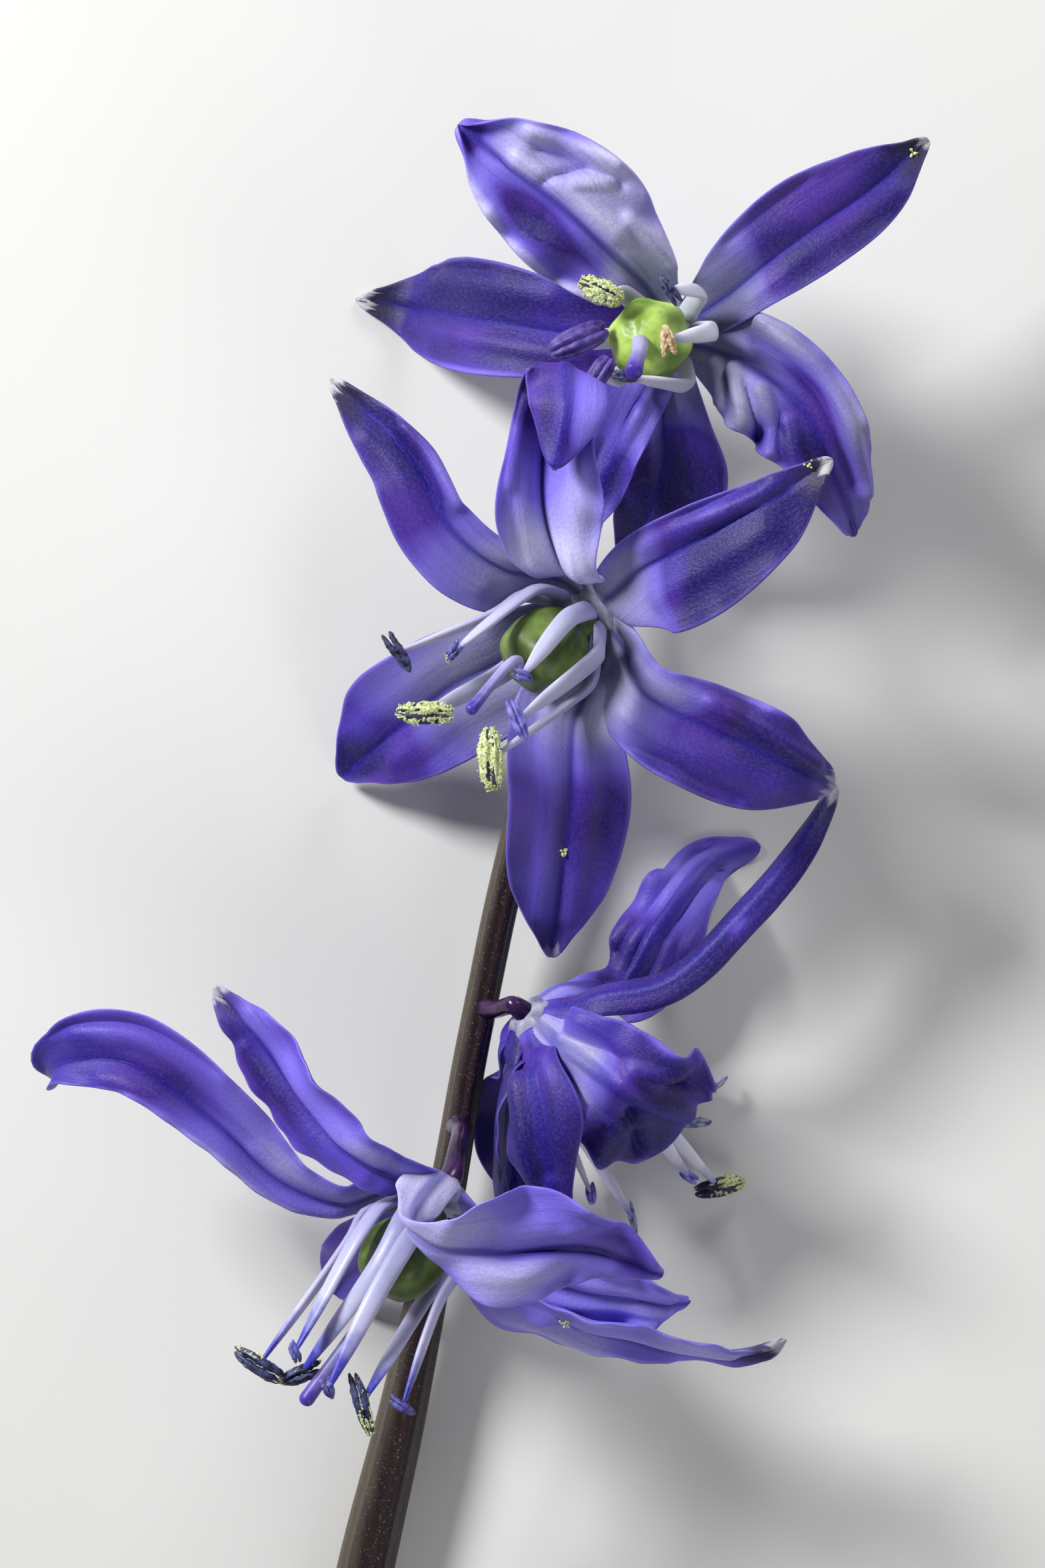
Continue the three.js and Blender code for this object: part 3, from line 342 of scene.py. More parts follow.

# %% How each petal is folded, ruffled and bleached, with painted light and shade
# Places on a petal are u, the share of its length, and v, from -1 at the left margin to 1 at the
# right. pale: how bleached the whole petal is; on 1f, 3e and 3f it is lowered to paint shade, and
# on 4d and 4e it is raised to paint light. foot: the share of the length that is bleached, and how
# far. ash: how grey the bleached parts are. tone: from violet, 0, to blue, 1. smooth: height of the
# random waves against the usual. ridge: how much paler a fold is painted, as a highlight, for each
# millimetre that it rises, and how much darker, as shade, for each that it sinks. horn: how grey
# and
# horny the tip is. hood: degrees that the margins of the tip curl in. left and right: half-widths,
# where they differ from the solid's. specks: u, v and the number of fallen grains of pollen.
# scallops: margin, from u, to u, count and depth, in the petal's plane. ruffles: the same with a
# height. pleats: from (u, v) to (u, v), half-width and height. patches: u, v, reach in u, reach in
# v, and how far bleached, or below zero how far deepened; on 3a and 3c some patches are painted
# highlights.
PETAL_LOOKS = {
    "1a": dict(
        pale=0.44, foot=(0.4, 1.2), ash=0.15, ridge=0.4, hood=95, left=[0.9, 1.8, 2.7, 2.3, 0.9],
        right=[0.9, 2.0, 3.0, 2.6, 1.3],
        ruffles=[(-1, 0.25, 0.85, 2.5, 0.3), (1, 0.3, 0.9, 2.5, 0.3)],
        pleats=[(0.78, 0.15, 0.4, 0.3, 0.4, 0.34), (0.75, 0.5, 0.5, 0.8, 0.3, -0.32),
            (0.8, 0.75, 0.55, 0.98, 0.3, 0.34), (0.68, 0.15, 0.6, 0.6, 0.22, -0.24),
            (0.6, 0.35, 0.52, 0.7, 0.2, 0.2), (0.4, 0.55, 0.2, 0.9, 0.3, 0.24),
            (0.75, -0.85, 0.2, -0.75, 0.3, 0.24), (0.6, -0.3, 0.3, -0.5, 0.3, -0.12)],
        patches=[(0.45, 0.5, 0.3, 0.5, 0.25), (0.8, 0.4, 0.12, 0.35, 0.15),
            (0.55, -0.98, 0.4, 0.15, 0.4), (0.6, -0.45, 0.2, 0.35, -0.75), (0.25, 0, 0.1, 1, 0.3),
            (0.95, 0, 0.05, 1, -0.6)]),
    "1b": dict(
        pale=-0.12, foot=(0.5, 1.5), ash=1.0, tone=0, smooth=0.45, ridge=0.1, horn=1,
        specks=[(0.93, 0.1, 10)],
        pleats=[(0.2, -0.5, 0.8, -0.45, 0.6, 0.22), (0.25, 0.5, 0.8, 0.5, 0.5, 0.2),
            (0.3, -0.85, 0.6, -0.85, 0.3, -0.15)],
        patches=[(0.42, 0.3, 0.12, 0.8, -0.3), (0.62, -0.4, 0.12, 0.5, 0.1),
            (0.65, -0.95, 0.3, 0.15, 0.2), (0.62, 0.6, 0.25, 0.5, -0.35)]),
    "1c": dict(
        pale=0.16, foot=(0.42, 0.9), ash=0.65, ridge=0.6, scallops=[(1, 0.15, 0.75, 3, 0.16)],
        ruffles=[(1, 0.15, 0.7, 3, 0.4), (-1, 0.3, 0.9, 2, 0.2)],
        pleats=[(0.22, 0.2, 0.42, 0.95, 0.24, 0.42), (0.14, 0.3, 0.28, 0.95, 0.22, 0.36),
            (0.36, 0.2, 0.56, 0.95, 0.24, 0.42), (0.3, 0.35, 0.46, 0.9, 0.14, -0.22),
            (0.5, 0.3, 0.7, 0.9, 0.24, 0.3), (0.25, -0.85, 0.85, -0.8, 0.3, 0.35),
            (0.25, -0.45, 0.8, -0.45, 0.4, -0.25)],
        patches=[(0.36, 0.6, 0.18, 0.45, 0.35), (0.5, -0.85, 0.35, 0.2, 0.4),
            (0.62, 0.4, 0.12, 0.5, -0.75), (0.93, 0, 0.05, 1, 0.2)]),
    "1d": dict(
        pale=-0.15, foot=(0.46, 1.2), ash=0.75, smooth=0.35,
        pleats=[(0.1, 0.4, 0.5, 0.4, 0.3, 0.15), (0.1, -0.4, 0.5, -0.5, 0.3, 0.15)],
        patches=[(0.38, -0.4, 0.14, 0.5, -0.4), (0.6, 0.5, 0.2, 0.5, -0.5),
            (0.3, 0.5, 0.12, 0.4, 0.25)]),
    "1e": dict(
        pale=0.1, foot=(0.36, 0.7), ash=0.5,
        pleats=[(0.3, -0.2, 0.9, 0.3, 0.35, 0.3), (0.5, 0.6, 0.9, 0.7, 0.3, 0.25)],
        patches=[(0.4, -0.3, 0.14, 0.8, 0.15), (0.62, -0.4, 0.12, 0.5, -0.4),
            (0.85, 0.5, 0.14, 0.5, 0.25)]),
    # 1f is darkened by a low pale as painted shade
    "1f": dict(
        pale=-0.35, foot=(0.26, 0.7), ash=0.3, tone=0, smooth=0.35, ridge=0.1, horn=1,
        pleats=[(0.2, -0.5, 0.8, -0.5, 0.4, 0.2), (0.3, 0.6, 0.7, 0.6, 0.6, 0.25),
            (0.5, 0.85, 0.75, 0.9, 0.35, -0.2)],
        patches=[(0.5, -0.95, 0.4, 0.12, 0.55), (0.6, 0.5, 0.2, 0.6, -0.45),
            (0.82, 0.5, 0.1, 0.4, 0.2)]),
    "2a": dict(
        foot=(0.62, 1.3), ash=0.6, smooth=0.45, ridge=0.12, horn=1,
        ruffles=[(1, 0.5, 0.9, 1, -0.4)],
        pleats=[(0.74, 0.7, 0.5, 0.8, 0.3, 0.32), (0.3, -0.5, 0.8, -0.5, 0.5, 0.22),
            (0.25, 0.45, 0.5, 0.4, 0.4, 0.15)],
        patches=[(0.22, 0.6, 0.14, 0.5, 0.3), (0.62, 0.85, 0.14, 0.25, 0.3),
            (0.62, -0.3, 0.12, 0.6, -0.35), (0.8, 0, 0.13, 1, -0.6)]),
    "2b": dict(
        pale=0.13, foot=(0.5, 1.0), smooth=0.6, hood=0,
        pleats=[(0.15, 0.5, 0.42, 0.6, 0.8, 0.6), (0.1, 0, 0.5, 0, 0.25, -0.35),
            (0.2, -0.5, 0.5, -0.5, 0.5, 0.3), (0.4, -0.7, 0.6, -0.6, 0.3, 0.25)],
        patches=[(0.4, 0.6, 0.15, 0.5, 0.2), (0.2, -0.5, 0.14, 0.6, 0.35),
            (0.6, -0.4, 0.1, 0.8, -0.3), (0.85, 0.6, 0.1, 0.4, 0.3), (0.82, -0.5, 0.12, 0.4, -0.4),
            (0.95, 0.0, 0.05, 0.8, -0.3)]),
    "2c": dict(
        pale=-0.12, foot=(0.5, 1.1), ash=0.5, smooth=0.45, ridge=0.1, horn=1,
        specks=[(0.93, -0.8, 8)],
        pleats=[(0.25, 0.45, 0.7, 0.4, 0.6, 0.25), (0.3, -0.5, 0.8, -0.5, 0.4, 0.25),
            (0.45, -0.85, 0.75, -0.8, 0.3, -0.2)],
        patches=[(0.22, -0.5, 0.1, 0.5, 0.25), (0.58, -0.5, 0.12, 0.4, 0.22),
            (0.42, 0.5, 0.12, 0.6, -0.4), (0.64, 0.5, 0.16, 0.6, -0.5), (0.83, 0, 0.08, 1, -0.2)]),
    "2d": dict(
        foot=(0.46, 1.1), ash=0.6, smooth=0.45, ridge=0.12, horn=0.6,
        ruffles=[(-1, 0.4, 0.8, 1.5, 0.35)],
        pleats=[(0.2, -0.5, 0.55, -0.5, 0.5, 0.35), (0.3, 0.5, 0.8, 0.5, 0.6, 0.25),
            (0.5, -0.6, 0.9, -0.5, 0.3, 0.25), (0.35, 0.85, 0.7, 0.85, 0.3, -0.2)],
        patches=[(0.22, 0.6, 0.12, 0.6, 0.4), (0.38, -0.45, 0.1, 0.4, 0.5),
            (0.65, 0, 0.18, 1, -0.25), (0.6, -0.95, 0.1, 0.12, 0.5), (0.95, 0, 0.04, 0.8, 0.4)]),
    "2e": dict(
        pale=0.05, foot=(0.55, 1.4), ash=0.5, tone=0, smooth=0.35, horn=0.5,
        specks=[(0.66, 0.08, 16)],
        pleats=[(0.2, 0.45, 0.85, 0.45, 0.5, 0.2), (0.2, -0.45, 0.85, -0.45, 0.5, 0.2)],
        patches=[(0.2, -0.6, 0.14, 0.4, 0.45), (0.55, -0.4, 0.15, 0.5, -0.2),
            (0.75, 0.4, 0.2, 0.5, 0.08)]),
    "2f": dict(
        pale=0.12, foot=(0.75, 1.0), ash=0.85, tone=0.4, smooth=0.45,
        pleats=[(0.3, 0.5, 0.85, 0.5, 0.7, 0.25), (0.3, -0.5, 0.8, -0.5, 0.6, 0.25)],
        patches=[(0.42, 0, 0.2, 1, 0.25), (0.85, -0.3, 0.14, 0.6, -0.6),
            (0.92, 0.3, 0.12, 1, -0.4)]),
    "3a": dict(
        pale=-0.3, foot=(0.12, 0.5), tone=0.1, smooth=0.1, horn=0.6,
        # the patch at u 0.56 is a painted highlight, a shine spot
        patches=[(0.56, -0.2, 0.05, 0.4, 0.55), (0.4, 0, 0.08, 1, -0.2)]),
    "3b": dict(
        pale=0.12, foot=(0.3, 0.5), ash=0.3, left=[0.7, 1.8, 2.2, 1.2, 0.5],
        right=[0.7, 1.0, 2.0, 1.5, 0.5], ruffles=[(1, 0.5, 1.0, 2.5, 0.35)],
        pleats=[(0.3, -0.3, 0.85, -0.4, 0.28, 0.3), (0.25, 0.3, 0.7, 0.2, 0.28, 0.25),
            (0.4, 0.7, 0.85, 0.6, 0.28, 0.3), (0.3, -0.7, 0.8, -0.8, 0.3, 0.2),
            (0.35, 0.0, 0.8, -0.1, 0.25, -0.2)],
        patches=[(0.8, -0.1, 0.14, 0.9, 0.25), (0.38, 0, 0.14, 1, -0.45),
            (0.22, -0.9, 0.08, 0.4, 0.4)]),
    "3c": dict(
        pale=0.05, foot=(0.35, 0.7), ash=0.4, tone=0.45, hood=0,
        scallops=[(1, 0.35, 1.0, 1.5, 0.35), (-1, 0.5, 1.0, 2.5, 0.2)],
        ruffles=[(1, 0.45, 1.1, 2.6, 0.65), (-1, 0.45, 1.1, 2.5, 0.35)],
        pleats=[(0.25, 0.25, 0.6, 0.4, 0.4, 0.35), (0.55, 0.35, 0.75, 0.95, 0.3, -0.5),
            (0.7, 0.45, 0.88, 0.95, 0.25, 0.4), (0.65, -0.2, 0.85, -0.8, 0.35, 0.5),
            (0.3, -0.45, 0.6, -0.5, 0.4, 0.25), (0.55, 0.1, 0.95, 0.0, 0.3, -0.4),
            (0.5, -0.6, 0.75, -0.4, 0.2, -0.25)],
        # the first patch is a painted highlight with glints, and the one at v 0.95 a painted lit
        # rim of a fold
        patches=[(0.34, 0.1, 0.15, 0.35, 0.8), (0.46, -0.4, 0.12, 0.2, 0.45),
            (0.5, 0.6, 0.14, 0.4, -0.35), (0.75, -0.6, 0.16, 0.6, -0.6),
            (0.6, 0.95, 0.12, 0.1, 0.3), (0.88, 0.5, 0.06, 0.3, 0.25),
            (0.76, 0.1, 0.14, 0.9, -0.6)]),
    "3d": dict(
        pale=-0.18, foot=(0.15, 0.4), smooth=0.35, ridge=0.1, hood=0,
        pleats=[(0.25, 0.15, 0.75, 0.1, 0.5, 0.4), (0.3, -0.6, 0.8, -0.5, 0.5, -0.25)],
        patches=[(0.32, 0.6, 0.16, 0.3, 0.25), (0.45, -0.5, 0.25, 0.4, -0.2)]),
    # 3e and 3f are darkened by a low pale as painted shade
    "3e": dict(pale=-0.8, foot=(0.15, 0.2), ash=0.6),
    "3f": dict(pale=-0.45, foot=(0.3, 0.5), ash=0.6, tone=0.8, patches=[(0.4, 0.3, 0.2, 1, 0.2)]),
    "4a": dict(
        pale=0.24, foot=(0.3, 0.7), ash=0.3, tone=0.6, horn=0.2,
        pleats=[(0.2, -0.6, 0.8, -0.6, 0.4, 0.25), (0.2, 0.6, 0.85, 0.55, 0.6, 0.3),
            (0.6, 0.9, 0.9, 0.9, 0.3, -0.25), (0.45, 0.25, 0.75, 0.3, 0.35, -0.15)],
        patches=[(0.36, 0.5, 0.14, 0.5, 0.3), (0.62, 0.3, 0.14, 0.4, -0.2),
            (0.8, -0.5, 0.16, 0.5, -0.6), (0.9, 0.3, 0.1, 0.8, -0.4),
            (0.45, -0.9, 0.35, 0.2, 0.3)]),
    "4b": dict(
        pale=0.14, foot=(0.2, 0.3), tone=0.5, horn=0.7,
        pleats=[(0.3, 0.5, 0.85, 0.5, 0.5, 0.35), (0.3, -0.6, 0.8, -0.6, 0.35, 0.25)],
        patches=[(0.5, 0.5, 0.4, 0.4, 0.12), (0.66, -0.5, 0.2, 0.4, -0.55),
            (0.25, 0.5, 0.14, 0.5, 0.35)]),
    "4c": dict(
        pale=0.28, foot=(0.6, 1.0), ash=0.1, tone=0.5, scallops=[(-1, 0.65, 1.0, 1.5, 0.3)],
        ruffles=[(-1, 0.68, 1.0, 1.5, 0.45)],
        pleats=[(0.5, -0.5, 0.85, -0.5, 0.7, 0.3), (0.5, 0.5, 0.85, 0.5, 0.5, 0.25),
            (0.75, -0.9, 0.95, -0.7, 0.3, 0.35), (0.72, -0.35, 0.8, -0.75, 0.25, 0.2)],
        patches=[(0.6, 0.5, 0.16, 0.5, 0.35), (0.48, -0.45, 0.14, 0.6, 0.2),
            (0.76, 0, 0.2, 0.12, -0.8), (0.82, -0.5, 0.14, 0.6, -0.15), (0.93, 0, 0.08, 1, -0.2)]),
    # 4d and 4e are made paler by a high pale as painted light, where they lie in 4c's shade
    "4d": dict(
        pale=0.36, foot=(0.3, 0.2), ash=0, tone=0.9,
        ruffles=[(1, 0.4, 1.0, 3, 0.35), (-1, 0.4, 1.0, 3, 0.35)],
        pleats=[(0.4, -0.4, 0.9, -0.4, 0.3, 0.25), (0.4, 0.4, 0.9, 0.4, 0.3, 0.25)],
        patches=[(0.7, 0, 0.2, 1, 0.1), (0.4, -0.4, 0.12, 0.5, -0.2)]),
    "4e": dict(
        pale=0.4, foot=(0.3, 0.2), ash=0, tone=0.9, horn=1, specks=[(0.42, -0.5, 18)],
        pleats=[(0.3, -0.6, 0.85, -0.5, 0.4, 0.25), (0.3, 0.6, 0.7, 0.6, 0.4, 0.25)],
        patches=[(0.4, 0.5, 0.14, 0.4, 0.25), (0.65, 0.5, 0.12, 0.4, -0.2),
            (0.8, -0.5, 0.14, 0.4, 0.2)]),
    "4f": dict(pale=0.1, foot=(0.3, 0.4)),
}
print("petals with looks of their own:", len(PETAL_LOOKS))

# %% How far each anther has come
# state, then width against the usual, how far it bows, the share that pollen covers, and to which
# end of the anther the pollen keeps. For the filaments: the share of the length where the blue tip
# starts, and how waxy white they are.
STAMEN_LOOKS = [
    [("ripe", 1.0, 0.15, 0.6, 0.5), ("split", 0.75, 0.25, 0, 0), ("dried", 0.85, 0.3, 0, 0),
     ("closed", 1.3, 0.05, 0, 0), ("closed", 1.0, 0.1, 0, 0), ("split", 0.7, 0.2, 0, 0)],
    [("curled", 0.75, 0.8, 0.04, 0), ("split", 0.85, 0.05, 0, 0), ("curled", 0.8, 0.9, 0, 0),
     ("lilac", 0.85, 0.1, 0, 0), ("ripe", 1.0, 0.1, 0.55, 0.3), ("ripe", 1.0, 0.1, 0.62, -0.35)],
    [("grey", 0.6, 0.6, 0, 0), ("ripe", 0.9, 0.4, 0.35, 0.9), ("grey", 0.6, 0.4, 0, 0),
     ("lilac", 0.7, 0.4, 0, 0), ("grey", 0.8, 0.1, 0, 0), ("lilac", 0.7, 0.2, 0, 0)],
    [("split", 1.15, 0.5, 0.05, 0), ("curled", 0.7, 0.6, 0, 0), ("split", 1.1, 0.4, 0.05, 0.2),
     ("curled", 0.8, 0.5, 0, 0), ("split", 0.95, 0.15, 0.12, 0.6), ("curled", 0.7, 0.8, 0, 0)],
]
FILAMENT_LOOKS = [(0.92, 0.8), (0.97, 0.15), (0.92, 1.0), (0.76, 0.1)]
print("ripe anthers:", sum(look[0] == "ripe" for looks in STAMEN_LOOKS for look in looks))

# %% [markdown]
# ## From the plant's measures to the frame
# The solid model was set with the middle of its box over the origin, so the plant's own measures
# are a plain shift away. The stem's cut end is in both, so its lowest corner gives the shift.


# %% The shift, found from the stem's cut end
SOLID_SIDES = 12  # corners of the solid stem, in and out by turns


def stem_ring(share, angles, ridge):
    """The stem's section at one share of its length: ridge gives the height at each angle."""
    heading = stem_line.heading(np.array([share]))[0]
    across = unit(np.cross((0, 0, 1), heading))
    up = np.cross(heading, across)
    radius = along(STEM_RADIUS, np.array(share)) * (1 + STEM_RIDGE * ridge)
    ring = stem_line.place(np.array([share])) + np.outer(radius * np.cos(angles), across)
    ring = ring + np.outer(radius * np.sin(angles), up)
    ring[:, 2] = np.maximum(ring[:, 2], SURFACE_Z)
    return ring


cut_corners = stem_ring(0, circle(SOLID_SIDES), (-1.0) ** np.arange(SOLID_SIDES))
stem_low = np.array(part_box("stem")[0]) / MM
PLANT_SHIFT = stem_low - cut_corners.min(axis=0)
PLANT_SHIFT[2] = -SURFACE_Z
print("plant shift, mm:", PLANT_SHIFT.round(3))

# %% [markdown]
# ## Skins and pieces
# A thin closed body is a stack of rings with a point that closes each end. One function lays the
# faces round the rings and another turns bodies into a Blender piece. Each vertex also keeps a few
# marks, such as how far along the petal it is, which the finishes read through Attribute nodes.


# %% Faces round a stack of rings
def skin(rings, first=None, last=None):
    """Points and faces of a closed body through rings of equal count, with its two end points."""
    steps, count = rings.shape[:2]
    first = rings[0].mean(axis=0) if first is None else first
    last = rings[-1].mean(axis=0) if last is None else last
    points = np.vstack([rings.reshape(-1, 3), first, last])
    i = np.arange(steps - 1)[:, None] * count
    k = np.arange(count)[None, :]
    following = (k + 1) % count
    quads = np.stack([i + k, i + following, i + count + following, i + count + k], axis=-1)
    faces = quads.reshape(-1, 4).tolist()
    top = steps * count
    for k in range(count):
        after = (k + 1) % count
        faces.append([top, after, k])
        faces.append([top + 1, top - count + k, top - count + after])
    return points, faces


# %% One Blender piece from several bodies
def make_piece(name, bodies, stands_for):
    """A piece in place of its solid. bodies: (points in mm, faces, marks of points, material)."""
    points = np.vstack([body[0] for body in bodies])
    starts = np.cumsum([0] + [len(body[0]) for body in bodies])
    faces = [[k + start for k in face] for start, body in zip(starts, bodies) for face in body[1]]
    mesh = bpy.data.meshes.new(name)
    mesh.from_pydata(((points + PLANT_SHIFT) * MM).tolist(), [], faces)
    for mark in sorted({mark for body in bodies for mark in body[2]}):
        values = [np.broadcast_to(body[2].get(mark, 0.0), len(body[0])) for body in bodies]
        layer = mesh.attributes.new(mark, "FLOAT", "POINT")
        layer.data.foreach_set("value", np.concatenate(values).astype(np.float32))
    materials = list(dict.fromkeys(body[3] for body in bodies))
    for material in materials:
        mesh.materials.append(material)
    owners = np.concatenate([[materials.index(body[3])] * len(body[1]) for body in bodies])
    mesh.polygons.foreach_set("material_index", owners.astype(np.int32))
    solid = bmesh.new()
    solid.from_mesh(mesh)
    bmesh.ops.recalc_face_normals(solid, faces=solid.faces)
    solid.to_mesh(mesh)
    solid.free()
    mesh.polygons.foreach_set("use_smooth", [True] * len(mesh.polygons))
    piece = bpy.data.objects.new(name, mesh)
    bpy.context.collection.objects.link(piece)
    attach(piece, "root")
    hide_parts(stands_for)
    print(name, len(mesh.polygons), "faces")


# %% Where things are in one flower
def flower_axis(flower):
    """The seat of a flower and the way that it opens."""
    return np.array(flower["seat"], float), unit(np.array(flower["opens"], float))


def outward(up, p):
    """The way from the flower's axis towards p."""
    p = np.array(p, float)
    return unit(p - up * p.dot(up))


def from_foot(flower, foot, points):
    """A line's points: its foot as (out from the axis, up along it), then points from the seat."""
    seat, up = flower_axis(flower)
    first = outward(up, points[0])
    return [seat + first * out + up * height for out, height in foot] + [
        seat + np.array(p) for p in points]


def turned(flower, profile, sides, groove):
    """A turned body with grooves on the flower's axis, through (radius, height) points."""
    seat, up = flower_axis(flower)
    turn = np.array(Vector((0, 1, 0)).rotation_difference(Vector(up)).to_matrix())
    angles = circle(sides)
    dent = 1 - groove * (0.5 - 0.5 * np.cos(GROOVES * angles))
    radius, height = np.array(profile).T
    rings = np.stack([
        radius[1:-1, None] * dent * np.sin(angles),
        np.repeat(height[1:-1, None], sides, axis=1),
        radius[1:-1, None] * dent * np.cos(angles),
    ], axis=-1)
    points, faces = skin(rings, np.array([0, height[0], 0]), np.array([0, height[-1], 0]))
    return points @ turn.T + seat, faces


# %% [markdown]
# ## Colours, nodes and materials
# Each finish starts from what the real one is. Colours are written as on a colour chart, in sRGB
# hex, and one function turns them into the linear values that shaders count in. A second function
# adds a node, fills or links its inputs and hands back its output, ready for the next node. A third
# wraps a finish in a material: the finish says what goes into the one shader that all of them use.


# %% Colour, node and material
def colour(code):
    channels = [int(code[k:k + 2], 16) / 255 for k in (1, 3, 5)]
    linear = [c / 12.92 if c <= 0.04045 else ((c + 0.055) / 1.055) ** 2.4 for c in channels]
    return (*linear, 1.0)


def add_node(tree, kind, inputs=(), out=0, **settings):
    """Adds a node with its settings, fills or links each input, and returns one output."""
    made = tree.nodes.new("ShaderNode" + kind)
    for name, value in settings.items():
        setattr(made, name, value)
    for name, value in dict(inputs).items():
        if isinstance(value, bpy.types.NodeSocket):
            tree.links.new(value, made.inputs[name])
        else:
            made.inputs[name].default_value = value
    return made.outputs[out] if made.outputs else None


def new_material(name, finish, *values):
    """A material whose finish, a function, adds nodes and returns the inputs of the shader."""
    material = bpy.data.materials.new(name)
    material.use_nodes = True
    material.node_tree.nodes.clear()
    add = partial(add_node, material.node_tree)
    add("OutputMaterial", {"Surface": add("BsdfPrincipled", finish(add, *values))})
    return material


# %% [markdown]
# ## The petal's skin
# A squill petal is a few cells thick. Its outer cells stand up in tiny domes, which gives a silky
# shine; below them lies a blue-violet juice, deepest along the middle vein, and air between the
# cells bleaches the foot of the petal to silver. The tips of the outer petals end in a grey, horny
# point. So the colour follows the petal's own length and width, which the marks give, and the
# domes and veins are bumps. Light and shade are painted into the colour as well: glints on the
# silky grain, a pale rim highlight along the margin, folds paler on their crests and darker in
# their hollows, and on some petals painted highlights and shade in patches. The domes are 0.04 mm
# across on the plant and are drawn at 0.06 mm, on a silky grain of 0.1 mm, so that they still show.

# %% Petal epidermis
PETAL_DEEP, PETAL_VIOLET, PETAL_PURPLE = colour("#1b0f58"), colour("#3b278a"), colour("#4a2888")
PETAL_BLUE, PETAL_BRIGHT, PETAL_LAVENDER = colour("#4537aa"), colour("#6854cc"), colour("#8c80e6")
PETAL_RIB, PETAL_SILVER, PETAL_ASH = colour("#1c1284"), colour("#cdcaf0"), colour("#5a5b72")
PETAL_SLATE, PETAL_HORN, PETAL_SHEEN = colour("#242232"), colour("#b3b0b8"), colour("#a79cff")
PETAL_MARKS = (
    "length_share", "along_mm", "across_mm", "margin_share", "bleach", "tone", "ash", "horn",
    "petal_number",
)
# stretch across, along and from petal to petal, scale in each millimetre, detail, roughness
PETAL_NOISES = (
    ((1.0, 0.45, 9.0), 0.45, 3.0, 0.5),  # mottles
    ((0.8, 0.5, 5.3), 0.5, 1.0, 0.5),  # hue
    ((6.0, 0.35, 9.0), 0.8, 3.0, 0.5),  # veins
    ((1.0, 1.0, 1.0), 18.0, 2.0, 0.5),  # domes of the cells
    ((1.0, 0.6, 3.0), 9.0, 3.0, 0.7),  # silky grain, a bump that also paints glints
)
# from thin to thick air: where each pale tint starts and is full, how far ash greys it, the tint
BLEACHING = (
    (0.03, 0.32, 0.5, PETAL_BRIGHT), (0.26, 0.72, 0.85, PETAL_LAVENDER),
    (0.66, 1.2, 1.0, PETAL_SILVER),
)


